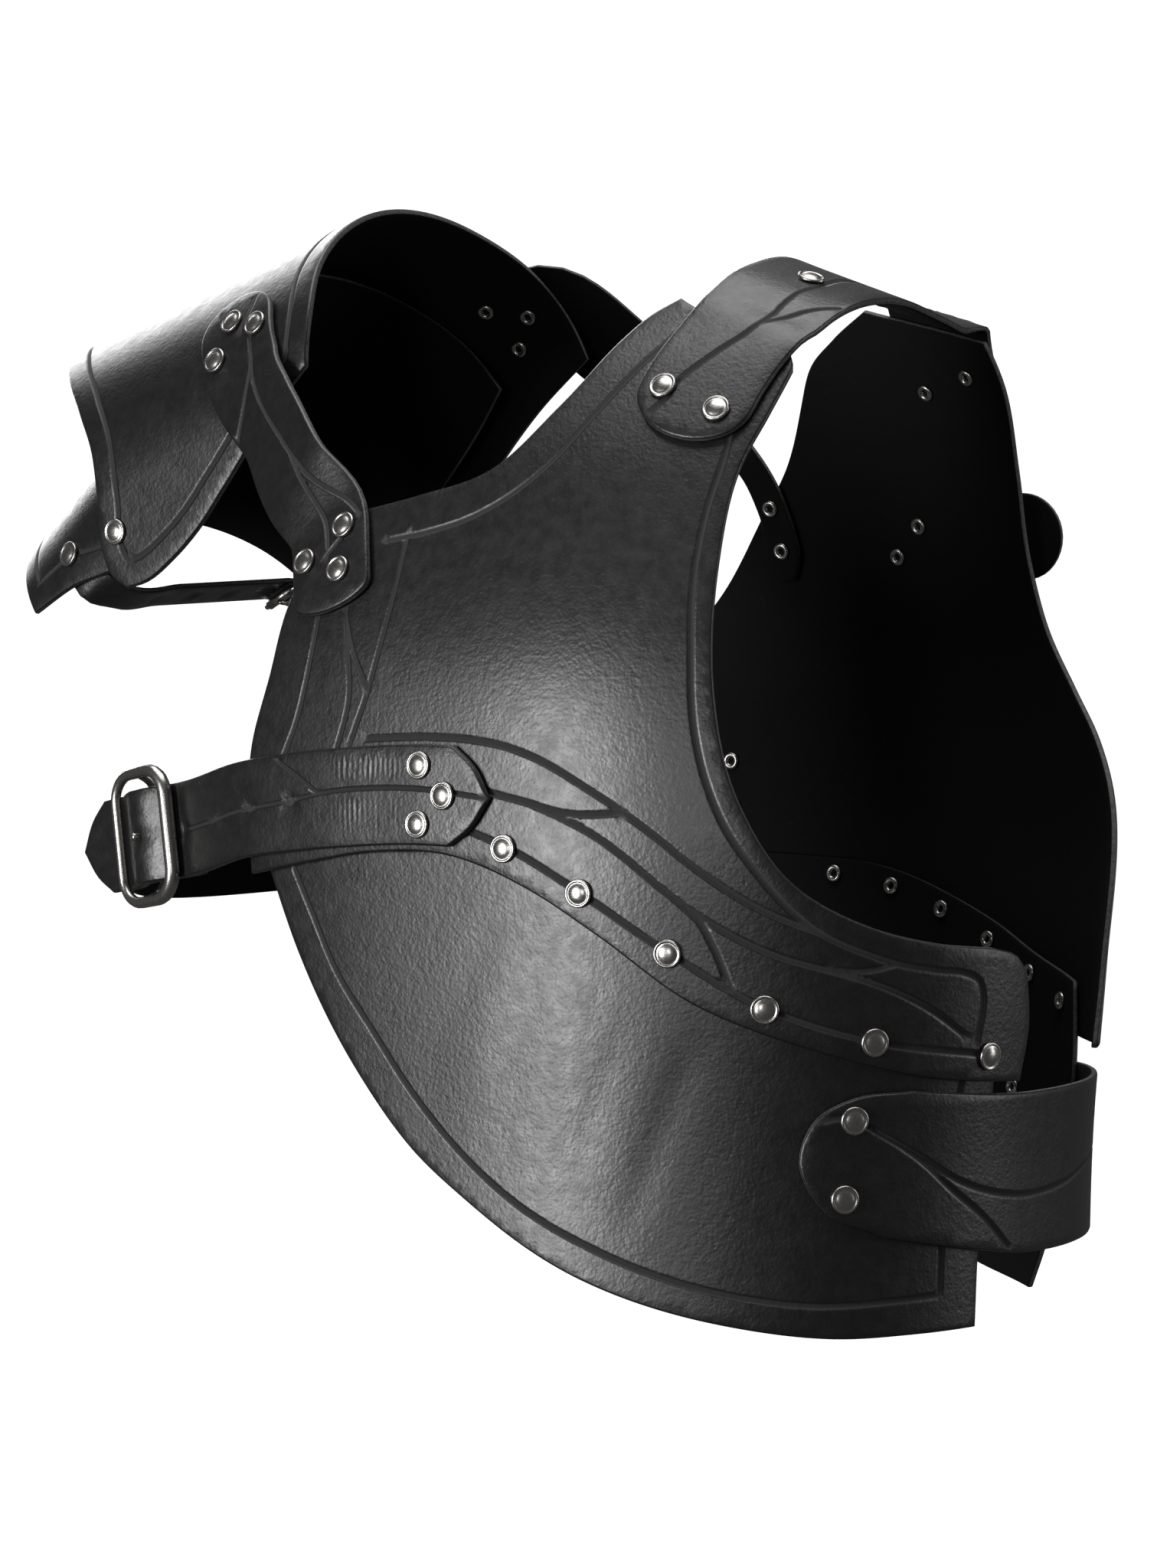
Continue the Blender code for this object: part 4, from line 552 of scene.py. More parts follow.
# Shoulder band: a strap that crosses the left shoulder in one hoop and lies flat on the breast and
# the back, where its round ends are riveted. Its raw edge shows along the armhole.
class Route:
    """The middle line of a strap's inner side, with the direction out of its outer side."""

    def __init__(self, stops):
        points = smooth_run([stop[0] for stop in stops], 0.002)
        outward = []
        for start, end in zip(stops, stops[1:]):
            count = max(1, round((Vector(end[0]) - Vector(start[0])).length / 0.002))
            outward += [Vector(start[1]).lerp(Vector(end[1]), k / count) for k in range(count)]
        self.points, self.outward = points, outward + [Vector(stops[-1][1])]
        self.travel = [0.0]
        for one, two in zip(points, points[1:]):
            self.travel.append(self.travel[-1] + (two - one).length)
        self.length = self.travel[-1]

    def at(self, distance):
        """Point, direction along, direction across and direction outward at a distance."""
        last = len(self.points) - 2
        i = min(max(bisect_right(self.travel, distance) - 1, 0), last)
        share = (distance - self.travel[i]) / (self.travel[i + 1] - self.travel[i])
        before = self.points[i] - self.points[max(i - 1, 0)]
        here = self.points[i + 1] - self.points[i]
        after = self.points[min(i + 2, last + 1)] - self.points[i + 1]
        start = (before.normalized() + here.normalized()).normalized()
        end = (here.normalized() + after.normalized()).normalized()
        along = start.lerp(end, max(0, min(1, share))).normalized()
        rough = self.outward[i].lerp(self.outward[i + 1], max(0, min(1, share)))
        outward = (rough - along * rough.dot(along)).normalized()
        return self.points[i] + here * share, along, outward.cross(along), outward

    def nearest(self, point):
        """Distance along the route of the place nearest to a point."""
        best = None
        for a, b, start in zip(self.points, self.points[1:], self.travel):
            share = max(0, min(1, (point - a).dot(b - a) / (b - a).length_squared))
            gap = (a.lerp(b, share) - point).length
            if best is None or gap < best[0]:
                best = (gap, start + share * (b - a).length)
        return best[1]

    def seat(self, base, laid=()):
        """Seat of a strap a base height above the route. Each entry of laid is a start, an end, the
        fade length, the seat function of a form, and the height that the route has above that form."""
        def seat(distance, across):
            point, _, side, outward = self.at(distance)
            here = point + side * across
            foot = here + outward * base
            for start, end, fade, form, height in laid:
                hold = (min(1, max(0, (distance - start) / fade + 1))
                        * min(1, max(0, (end - distance) / fade + 1)))
                if hold > 0:
                    hold = hold * hold * (3 - 2 * hold)
                    skin, out = form(here)
                    foot = foot.lerp(skin + out * (height + base), hold)
                    outward = outward.lerp(out, hold)
            return foot, outward
        return seat


def on_body(point):
    """Skin point of the body form under a point, and the way out there."""
    turn, drop = body_place(point)
    return body_skin(turn, drop), body_outward(turn, drop)


def body_stop(turn, share, height):
    """A stop of a route at a height over the body form."""
    drop = share * TORSO_HEIGHT
    outward = body_outward(turn, drop)
    return body_skin(turn, drop) + height * outward, outward


def steps(start, end, spacing):
    """Evenly spaced values from start to end."""
    count = max(1, round((end - start) / spacing))
    return [start + (end - start) * k / count for k in range(count + 1)]


def round_ended(start, end, width, start_round=0.0, end_round=0.0):
    """Outline of a strap, with ends that are round by a share of the half width, or square at 0."""
    half = width / 2
    along = steps(start + start_round * half, end - end_round * half, CUT_STEP)
    sweep = [radians(angle) for angle in range(10, 180, 10)]
    outline = [(x, -half) for x in along]
    if end_round:
        outline += [(end - end_round * half * (1 - sin(t)), -half * cos(t)) for t in sweep]
    outline += [(x, half) for x in reversed(along)]
    if start_round:
        outline += [(start + start_round * half * (1 - sin(t)), half * cos(t)) for t in sweep]
    return outline


def strap_run(*stops):
    """A carved line on a strap, whose stops are millimetres along and across."""
    return smooth_run([(x * 0.001, y * 0.001) for x, y in stops], CARVE_STEP)


SHOULDER_BAND_WIDTH = 0.052
FRONT_LAID, REAR_LAID, BAND_FADE = 0.056, 0.053, 0.015
shoulder_route = Route((
    body_stop(41.6, 0.187, TOP),
    body_stop(44.1, 0.166, TOP),
    body_stop(48.0, 0.135, TOP),
    body_stop(52.6, 0.108, TOP),
    (Vector((0.1075, -0.0694, -0.0347)), Vector((0.32, -0.54, 0.78))),
    (Vector((0.1098, -0.0547, -0.0255)), Vector((0.36, -0.43, 0.83))),
    (Vector((0.1105, -0.0383, -0.0200)), Vector((0.37, -0.23, 0.90))),
    (Vector((0.1102, -0.0198, -0.0170)), Vector((0.38, -0.06, 0.92))),
    (Vector((0.1103, -0.0013, -0.0177)), Vector((0.34, 0.10, 0.94))),
    (Vector((0.1087, 0.0185, -0.0205)), Vector((0.32, 0.16, 0.93))),
    (Vector((0.1060, 0.0400, -0.0238)), Vector((0.29, 0.22, 0.92))),
    (Vector((0.1015, 0.0630, -0.0262)), Vector((0.24, 0.45, 0.86))),
    body_stop(129, 0.084, TOP + 0.0003),
    body_stop(132.5, 0.116, TOP),
    body_stop(136, 0.155, TOP),
))
shoulder_length = shoulder_route.length
shoulder_seat = shoulder_route.seat(0, (
    (0, FRONT_LAID, BAND_FADE, on_body, TOP),
    (shoulder_length - REAR_LAID, shoulder_length, BAND_FADE, on_body, TOP)))
shoulder_lines = [
    strap_run((4.5, 15), (14.5, 11.2), (22, 10.2), (33, 5), (44, 0), (53.3, -4), (62, -5.2), (76, -4.2),
              (88, -4), (102, -5.7), (121, -4.5), (160, -3), (200, 0), (232, 3)),
    strap_run((63, -6.5), (70, -10.8), (77.5, -15), (83.5, -19.5), (88, -24))]
cut_leather("carved_shoulder_band", round_ended(0, shoulder_length, SHOULDER_BAND_WIDTH, 0.8, 0.8),
            shoulder_seat, shoulder_lines, node="shoulder_band")


# Waist straps: the front one runs from its riveted point across the open right side to the buckle,
# with its tail beyond, and the rear one comes round from the back to lie under it. Wear shows as
# fine cross wrinkles by the rivets, where the strap bends each time it is fastened.
WAIST_STRAP_WIDTH = 0.040
BUCKLE_LENGTH, BUCKLE_HEIGHT = 0.036, 0.055
BUCKLE_WIRE, BUCKLE_BAR, BUCKLE_CORNER, BUCKLE_STUD = 0.0050, 0.0040, 0.012, 0.0034
BUCKLE_CENTRE = Vector((-0.159, -0.1367, -0.246))
BUCKLE_HEADING = Vector((-0.965, 0.245, -0.17)).normalized()
BUCKLE_OUTWARD = Vector((-0.24, -0.97, 0))
BUCKLE_OUTWARD = (BUCKLE_OUTWARD - BUCKLE_HEADING * BUCKLE_OUTWARD.dot(BUCKLE_HEADING)).normalized()
BUCKLE_UP = BUCKLE_HEADING.cross(BUCKLE_OUTWARD)
MIDDLE_BAR_DEPTH = 0.006
STRAPS_THICKNESS = LAYER + LEATHER
SIDE_BAR_LEVEL = -(BUCKLE_WIRE / 2 + STRAPS_THICKNESS + 0.0014)
MIDDLE_BAR_LEVEL = BUCKLE_BAR / 2 - MIDDLE_BAR_DEPTH + 0.0008


def buckle_stop(share, level):
    """A stop at a share of the buckle's half length along, and at a level out of its plane."""
    return (BUCKLE_CENTRE + BUCKLE_HEADING * share * BUCKLE_LENGTH / 2 + BUCKLE_OUTWARD * level,
            BUCKLE_OUTWARD)


half_way = (SIDE_BAR_LEVEL + MIDDLE_BAR_LEVEL) / 2
in_the_buckle = [buckle_stop(share, level) for share, level in (
    (-1.7, SIDE_BAR_LEVEL), (-1, SIDE_BAR_LEVEL), (-0.5, half_way), (0, MIDDLE_BAR_LEVEL), (0.5, half_way),
    (1, SIDE_BAR_LEVEL), (1.15, SIDE_BAR_LEVEL))]
front_waist_route = Route((
    body_stop(14, 0.487, OUTER), body_stop(0, 0.485, OUTER), body_stop(-14, 0.489, OUTER),
    body_stop(-26, 0.496, OUTER), body_stop(-33, 0.502, OUTER), *in_the_buckle,
    buckle_stop(1.7, SIDE_BAR_LEVEL), buckle_stop(3.4, SIDE_BAR_LEVEL + 0.001)))
rear_waist_route = Route((
    body_stop(-33, 0.502, OUTER), *in_the_buckle,
    (Vector((-0.191, -0.104, -0.252)), Vector((-0.62, -0.78, 0))),
    (Vector((-0.207, -0.070, -0.256)), Vector((-0.90, -0.44, 0))),
    (Vector((-0.219, -0.028, -0.258)), Vector((-0.98, -0.20, 0))),
    (Vector((-0.222, 0.015, -0.258)), Vector((-1, 0.05, 0))),
    (Vector((-0.213, 0.060, -0.256)), Vector((-0.93, 0.37, 0))),
    body_stop(-123, 0.532, TOP + 0.002), body_stop(-136, 0.512, TOP), body_stop(-150, 0.498, TOP),
    body_stop(-164, 0.489, TOP), body_stop(-178, 0.485, TOP)))
OVER_BAR = buckle_stop(0, MIDDLE_BAR_LEVEL)[0]
front_stud_at, rear_stud_at = front_waist_route.nearest(OVER_BAR), rear_waist_route.nearest(OVER_BAR)
waist_leaves = front_waist_route.nearest(body_stop(-30, 0.500, OUTER)[0])
waist_lands = rear_waist_route.nearest(body_stop(-132, 0.517, TOP)[0])
front_waist_seat = front_waist_route.seat(LAYER, ((0, waist_leaves - 0.020, 0.020, on_body, OUTER),))
rear_waist_seat = rear_waist_route.seat(
    0, ((waist_lands + 0.020, rear_waist_route.length, 0.020, on_body, TOP),))
TIP_LENGTH, WAIST_TAIL, REAR_TAIL = 0.018, 0.052, 0.048


def pointed(start, end, width, tip):
    """Outline of a waist strap with a pointed tip at either end."""
    half = width / 2
    point_end = smooth_run([(end - tip, -half), (end - tip * 0.45, -half * 0.62), (end, 0)], 0.003)
    point_start = smooth_run([(start, 0), (start + tip * 0.45, -half * 0.62), (start + tip, -half)], 0.003)
    straight = [Vector((x, -half)) for x in steps(start + tip, end - tip, CUT_STEP)]
    lower = point_start[:-1] + straight + point_end[1:]
    return lower + [Vector((p.x, -p.y)) for p in reversed(lower[1:-1])]


def ring(centre, diameter, sides=16):
    """A round hole in a flat pattern."""
    return [Vector((centre[0] + diameter / 2 * cos(2 * pi * k / sides),
                    centre[1] + diameter / 2 * sin(2 * pi * k / sides))) for k in range(sides)]


STRAP_HOLE, STUD_HOLE, HOLE_PITCH = 0.0045, BUCKLE_STUD + 0.0022, 0.025
waist_holes = [ring((front_stud_at - HOLE_PITCH * k, 0), STRAP_HOLE) for k in range(1, 5)]
waist_holes.append(ring((front_stud_at, 0), STUD_HOLE))
waist_tip = front_stud_at + WAIST_TAIL
WRINKLE_PITCH, WRINKLE_HEIGHT, WAVE_HEIGHT = 0.0026, 0.00009, 0.0003
WRINKLES_FROM, WRINKLES_TO = 0.040, 0.082


def waist_relief(x, y):
    """Cross wrinkles by the rivets and a slight waviness along the free stretch."""
    fade = min(1, max(0, (x - WRINKLES_FROM) / 0.006)) * min(1, max(0, (WRINKLES_TO - x) / 0.012))
    bend = noise.noise((x * 40, y * 60, 1.0)) * 1.6
    strength = 0.55 + noise.noise((x * 150, y * 90, 4.0)) - y / WAIST_STRAP_WIDTH
    return (WRINKLE_HEIGHT * fade * max(0, strength) * sin(2 * pi * x / WRINKLE_PITCH + bend * 2.5)
            + WAVE_HEIGHT * noise.noise((x * 45, y * 20, 9.0)))


waist_stations = (steps(0, WRINKLES_FROM, 0.004) + steps(WRINKLES_FROM + 0.0006, WRINKLES_TO, 0.0006)
                  + steps(WRINKLES_TO + 0.003, waist_tip, 0.0028))
waist_lines = [strap_run((0, 0), (28, -2.2), (50, -3.0), (78, -2.8), (104, -0.4), (131, 0.4), (170, 0.6)),
               strap_run((85, -2.4), (94, -9), (106, -17))]
cut_leather("carved_waist_strap", pointed(0, waist_tip, WAIST_STRAP_WIDTH, TIP_LENGTH), front_waist_seat,
            waist_lines, waist_holes, relief=waist_relief, stations=waist_stations, groove=0.0018,
            node="waist_strap")
rear_tip, rear_end = rear_stud_at - REAR_TAIL, rear_waist_route.length
cut_leather("carved_rear_waist_strap", pointed(rear_tip, rear_end, WAIST_STRAP_WIDTH, TIP_LENGTH),
            rear_waist_seat, [], [ring((rear_stud_at, 0), STUD_HOLE)], node="rear_waist_strap")


# Waist buckle: a bent nickel-plated wire frame with a middle bar and a fixed stud that passes
# through both straps. The frame's thick side bar lies on the front strap.
# Satin nickel plate keeps the lines of the wire brush under it. They are finer than the render
# shows, so they are drawn 1.8 mm wide.
BRUSH_LINE = 0.0018
NICKEL, tree, shader = new_material("satin_nickel_plate", "#9a9894", 0.24, 1.0)
place = add_node(tree, "ShaderNodeTexCoord").outputs["Object"]
lines = add_node(tree, "ShaderNodeMapping", {"Vector": place, "Scale": (1, 1, 9)})
brush = add_node(tree, "ShaderNodeTexNoise", {"Vector": lines.outputs[0], "Scale": 1 / BRUSH_LINE,
                                              "Detail": 4.0})
shade = add_node(tree, "ShaderNodeMapRange", {0: brush.outputs["Fac"], 1: 0.3, 2: 0.7, 3: 0.2, 4: 0.36})
scratch = add_node(tree, "ShaderNodeBump", {"Height": brush.outputs["Fac"], "Strength": 0.2,
                                            "Distance": 0.0001})
tree.links.new(shade.outputs[0], shader.inputs["Roughness"])
tree.links.new(scratch.outputs[0], shader.inputs["Normal"])


def wire(points, diameters, closed=False):
    """A bmesh of a round bar along points, with a diameter at each point."""
    curve = bpy.data.curves.new("wire", "CURVE")
    curve.dimensions, curve.bevel_depth, curve.bevel_resolution, curve.use_fill_caps = "3D", 0.5, 5, True
    spline = curve.splines.new("POLY")
    spline.points.add(len(points) - 1)
    for entry, point, diameter in zip(spline.points, points, diameters):
        entry.co, entry.radius = (*point, 1), diameter
    spline.use_cyclic_u = closed
    holder = bpy.data.objects.new("wire", curve)
    bpy.context.scene.collection.objects.link(holder)
    made = bpy.data.meshes.new_from_object(holder.evaluated_get(bpy.context.evaluated_depsgraph_get()))
    bpy.data.objects.remove(holder)
    bpy.data.curves.remove(curve)
    mesh = bmesh.new()
    mesh.from_mesh(made)
    bpy.data.meshes.remove(made)
    bmesh.ops.remove_doubles(mesh, verts=mesh.verts[:], dist=1e-6)
    bmesh.ops.recalc_face_normals(mesh, faces=mesh.faces[:])
    return mesh


def merged(meshes):
    """One bmesh from several."""
    whole = meshes[0]
    for other in meshes[1:]:
        data = bpy.data.meshes.new("part")
        other.to_mesh(data)
        other.free()
        whole.from_mesh(data)
        bpy.data.meshes.remove(data)
    return whole


def rounded_frame(half_length, half_height, corner, to_world):
    """Points and turns round a frame with quarter-round corners and points along its sides."""
    points = []
    for quarter, (x, y) in enumerate(((1, 1), (-1, 1), (-1, -1), (1, -1))):
        for k in range(9):
            angle = (quarter + k / 8) * pi / 2
            points.append(to_world(x * (half_length - corner) + corner * cos(angle),
                                   y * (half_height - corner) + corner * sin(angle)))
    return points


def in_buckle(x, y, level=0):
    """A point along and across the waist buckle, at a level out of its plane."""
    return BUCKLE_CENTRE + BUCKLE_HEADING * x + BUCKLE_UP * y + BUCKLE_OUTWARD * level


frame_points = rounded_frame(BUCKLE_LENGTH / 2, BUCKLE_HEIGHT / 2, BUCKLE_CORNER, in_buckle)
frame_bar = wire(frame_points, [BUCKLE_WIRE * (1.05 - 0.2 * (point - BUCKLE_CENTRE).dot(BUCKLE_HEADING)
                                               / (BUCKLE_LENGTH / 2)) for point in frame_points], True)
bar_reach = BUCKLE_HEIGHT / 2
bar_points = smooth_run([in_buckle(0, bar_reach * share, level) for share, level in (
    (-1, 0), (-0.86, -MIDDLE_BAR_DEPTH), (0, -MIDDLE_BAR_DEPTH), (0.86, -MIDDLE_BAR_DEPTH), (1, 0))], 0.002)
middle_bar = wire(bar_points, [BUCKLE_BAR] * len(bar_points))
STUD_TOP = STRAPS_THICKNESS + BUCKLE_BAR / 2 - MIDDLE_BAR_DEPTH + 0.0035
stud_levels = [-MIDDLE_BAR_DEPTH, STUD_TOP - 0.0012, STUD_TOP - 0.0005, STUD_TOP - 0.0001, STUD_TOP]
stud = wire([in_buckle(0, 0, level) for level in stud_levels],
            [BUCKLE_STUD * share for share in (1, 1, 0.86, 0.6, 0.2)])
add_piece("bent_waist_buckle", merged([frame_bar, middle_bar, stud]), (NICKEL,), "satin_nickel",
          "waist_buckle_frame")


# Pauldron lames: two moulded arches. The upper one covers the shoulder, the lower one is pinned a
# layer inside it and stands out over the arm. Border lines follow their shaped edges.
class Lame:
    """An arched plate of the pauldron: a half round with straight skirts, along a tilted axis."""

    def __init__(self, crest, tilt, length, arches, rises, widest=1):
        self.crest = Vector(crest)
        self.along = Vector((-cos(radians(tilt)), 0, -sin(radians(tilt))))
        self.up = Vector((-sin(radians(tilt)), 0, cos(radians(tilt))))
        self.length, self.arches, self.rises, self.widest = length, arches, rises, widest

    def arch(self, share):
        """Half width and rise at a share of the length."""
        spread = min(1, share / self.widest)
        return (self.arches[0] + (self.arches[1] - self.arches[0]) * spread,
                self.rises[0] + (self.rises[1] - self.rises[0]) * share)

    def skin(self, share, angle):
        """Point at an angle from the crest to the rear; past 90 degrees it runs straight down."""
        half_width, rise = self.arch(share)
        bend = radians(max(-90, min(90, angle)))
        skirt = rise * radians(max(0, abs(angle) - 90))
        return (self.crest + self.along * self.length * share + Vector((0, half_width * sin(bend), 0))
                + self.up * (rise * (cos(bend) - 1) - skirt))

    def outward(self, share, angle):
        """Way out of the lame at a share and an angle."""
        around = self.skin(share, angle + 1) - self.skin(share, angle - 1)
        along = self.skin(share + 0.01, angle) - self.skin(share - 0.01, angle)
        return around.cross(along).normalized()

    def stop(self, share, angle, height=0.0):
        """A stop of a route at a height over the lame."""
        outward = self.outward(share, angle)
        return self.skin(share, angle) + height * outward, outward

    def place(self, point):
        """Share and angle of the place on the lame under a point."""
        near = point
        for _ in range(5):
            away = near - self.crest
            share = away.dot(self.along) / self.length
            half_width, rise = self.arch(share)
            above = away.dot(self.up) + rise
            if above >= 0:
                angle = degrees(atan2(away.y / half_width, above / rise))
            else:
                angle = (90 + degrees(-above / rise)) * (1 if away.y > 0 else -1)
            outward = self.outward(share, angle)
            near = point - outward * (point - self.skin(share, angle)).dot(outward)
        return share, angle

    def on(self, point):
        """Skin point of the lame under a point, and the way out there."""
        return self.stop(*self.place(point))

    def pattern_seat(self, x, y):
        """Seat of the lame's own flat pattern."""
        return self.stop(x / self.length, y / LAME_METRES)

    def run(self, *stops, spacing=CUT_STEP):
        """A cut or a carved line, whose stops are a share of the length and an angle."""
        return smooth_run([(share * self.length, angle * LAME_METRES) for share, angle in stops], spacing)


PAULDRON_ARCH, PAULDRON_RISE, PAULDRON_LENGTH = 0.090, 0.082, 0.215
LAME_METRES = PAULDRON_ARCH * pi / 180
UPPER_LAME = Lame((-0.113, -0.005, 0.026), 18, PAULDRON_LENGTH, (PAULDRON_ARCH, PAULDRON_ARCH),
                  (PAULDRON_RISE, PAULDRON_RISE * 1.15))
PIVOT_SHARE, PIVOT_ANGLE = 0.62, 100
LOWER_ARCH, LOWER_TAPER, LOWER_RISE = PAULDRON_ARCH - LAYER, 0.014, 0.056
LOWER_LAME = Lame((0, 0, 0), 42, 0.168, (LOWER_ARCH - LOWER_TAPER, LOWER_ARCH),
                  (LOWER_RISE, LOWER_RISE * 1.14), 0.5)
LOWER_LAME.crest = UPPER_LAME.skin(PIVOT_SHARE, -PIVOT_ANGLE) - LOWER_LAME.skin(PIVOT_SHARE, -90)
LOWER_LAME.crest.y = UPPER_LAME.crest.y
outer_rim = ((0.88, 0), (0.84, 20), (0.75, 44), (0.68, 62), (0.645, 76), (0.65, 90), (0.67, 102),
             (0.66, 111), (0.63, 116))
upper_outline = joined(
    UPPER_LAME.run(*((share, -angle) for share, angle in outer_rim)),
    UPPER_LAME.run((0.63, -116), (0.58, -117), (0.50, -115), (0.42, -111), (0.33, -104), (0.20, -93),
                   (0.06, -83)),
    UPPER_LAME.run((0.06, -83), (0.04, -66), (0.04, -48), (0.03, -22), (0.02, 0), (0.00, 26), (-0.03, 50),
                   (-0.04, 66), (-0.04, 80)),
    UPPER_LAME.run((-0.04, 80), (0.12, 88), (0.28, 100), (0.40, 110), (0.50, 115), (0.58, 117), (0.63, 116)),
    UPPER_LAME.run(*reversed(outer_rim)))
cut_leather("carved_upper_lame", upper_outline, UPPER_LAME.pattern_seat, [border(upper_outline, 0.0115)],
            node="pauldron_upper")
lower_outline = joined(
    LOWER_LAME.run((0.96, 0), (0.98, -25), (0.99, -50), (0.99, -80)),
    LOWER_LAME.run((0.99, -80), (0.84, -87), (0.70, -98), (0.60, -103), (0.48, -102), (0.30, -96),
                   (0.10, -90), (0.01, -82)),
    LOWER_LAME.run((0.01, -82), (0.00, -50), (0.00, -20), (-0.01, 20), (-0.02, 50), (-0.03, 80),
                   (-0.03, 104)),
    LOWER_LAME.run((-0.03, 104), (0.10, 106), (0.30, 106), (0.48, 105), (0.60, 103), (0.70, 98), (0.79, 87),
                   (0.86, 80)),
    LOWER_LAME.run((0.86, 80), (0.87, 55), (0.90, 28), (0.96, 0)))
lower_lines = [LOWER_LAME.run(*stops, spacing=CARVE_STEP) for stops in (
    ((0.83, 74), (0.82, 55), (0.85, 28), (0.905, 0), (0.925, -25), (0.935, -50), (0.935, -70)),
    ((0.935, -72), (0.80, -77), (0.70, -86), (0.62, -92)),
    ((0.83, 76), (0.74, 84), (0.66, 91)))]
cut_leather("carved_lower_lame", lower_outline, LOWER_LAME.pattern_seat, lower_lines, node="pauldron_lower")


# Pauldron straps: the front one bridges from the upper lame to the breast, the rear one narrows to
# a tongue inside the back plate. Both hold the pauldron up; the front one is carved with a vine.
PAULDRON_STRAP_WIDTH = 0.040
front_leaving = UPPER_LAME.stop(0.205, -78, LAYER)
front_strap_route = Route((
    UPPER_LAME.stop(0.235, -50, LAYER), UPPER_LAME.stop(0.225, -64, LAYER), front_leaving,
    (Vector((-0.110, -0.110, -0.072)), Vector((-0.25, -0.94, 0.1))),
    (Vector((-0.083, -0.126, -0.098)), Vector((-0.22, -0.92, 0.25))),
    body_stop(-26.5, 0.256, TOP), body_stop(-23, 0.287, TOP), body_stop(-19.5, 0.330, TOP)))
front_strap_length = front_strap_route.length
front_strap_leaves = front_strap_route.nearest(front_leaving[0])
front_strap_lands = front_strap_route.nearest(body_stop(-26.5, 0.256, TOP)[0])
front_strap_seat = front_strap_route.seat(0, (
    (0, front_strap_leaves - 0.012, 0.012, UPPER_LAME.on, LAYER),
    (front_strap_lands + 0.010, front_strap_length, 0.022, on_body, TOP)))
front_strap_lines = [
    strap_run((9, 10), (14, 8), (20, 4)), strap_run((29, 8), (42, 6), (56, -4), (66, -17)),
    strap_run((36, 7), (50, 4.5), (74, 1.5), (96, 3.5), (114, 6), (136, 9), (152, 17)),
    strap_run((107, 5), (120, 3.5), (140, 0.5), (160, 0)), strap_run((153, 16), (158, 8), (163, 0))]


def front_strap_relief(x, y):
    """Slight creases where the strap turns down onto the breast."""
    return 0.0004 * noise.noise((x * 60, y * 30, 5.0)) * min(1, max(0, (x - 0.08) / 0.03))


cut_leather("carved_front_pauldron_strap",
            round_ended(0, front_strap_length, PAULDRON_STRAP_WIDTH, 0.9, 0.4), front_strap_seat,
            front_strap_lines, relief=front_strap_relief, groove=0.0022, node="front_pauldron_strap")
rear_leaving = UPPER_LAME.stop(0.00, 61, LAYER)
rear_strap_route = Route((
    UPPER_LAME.stop(0.21, 60, LAYER), UPPER_LAME.stop(0.11, 60, LAYER), rear_leaving,
    (Vector((-0.080, 0.104, -0.033)), Vector((-0.22, 0.90, 0.36))),
    (Vector((-0.053, 0.111, -0.053)), Vector((-0.10, 0.93, 0.33))),
    body_stop(188.5, 0.180, INNER), body_stop(184.5, 0.222, INNER), body_stop(182.5, 0.292, INNER)))
rear_strap_length = rear_strap_route.length
rear_strap_leaves = rear_strap_route.nearest(rear_leaving[0])
rear_strap_lands = rear_strap_route.nearest(body_stop(188.5, 0.180, INNER)[0])
rear_strap_seat = rear_strap_route.seat(0, (
    (0, rear_strap_leaves - 0.012, 0.012, UPPER_LAME.on, LAYER),
    (rear_strap_lands + 0.006, rear_strap_length, 0.022, on_body, INNER)))
REAR_STRAP_WIDTH, REAR_TONGUE_WIDTH = 0.042, 0.015
# How far the rear strap has tapered to its tongue, at shares of its length
REAR_TAPER = ((0.06, 0.1), (0.18, 0), (0.34, 0), (0.48, 0.25), (0.62, 0.75), (0.74, 1), (0.86, 1),
              (0.97, 1.05))
side = [(rear_strap_length * share, REAR_STRAP_WIDTH / 2 + (REAR_TONGUE_WIDTH - REAR_STRAP_WIDTH) / 2 * taper)
        for share, taper in REAR_TAPER]
rear_ends = (0, REAR_STRAP_WIDTH * 0.22), (rear_strap_length, REAR_TONGUE_WIDTH * 0.2)
edge = smooth_run([rear_ends[0], *side, rear_ends[1]], CUT_STEP)
cut_leather("carved_rear_pauldron_strap", [(p.x, -p.y) for p in edge] + list(reversed(edge)), rear_strap_seat,
            node="rear_pauldron_strap")


# Back tab: a plain leather tongue with two rivets through it and the back plate. Its round end
# stands off past the plate's left edge.
BACK_TAB_WIDTH = 0.038
back_tab_route = Route((
    body_stop(162, 0.262, TOP), body_stop(153.5, 0.257, TOP), body_stop(146, 0.253, TOP + 0.001),
    (Vector((0.106, 0.131, -0.117)), Vector((0.06, 0.99, 0.1))),
    (Vector((0.134, 0.131, -0.118)), Vector((0.0, 1, 0.08)))))
back_tab_seat = back_tab_route.seat(0, ((0, 0.018, 0.012, on_body, TOP),))
cut_leather("carved_back_tab", round_ended(0, back_tab_route.length, BACK_TAB_WIDTH, 0.5, 1.0),
            back_tab_seat, node="back_tab")


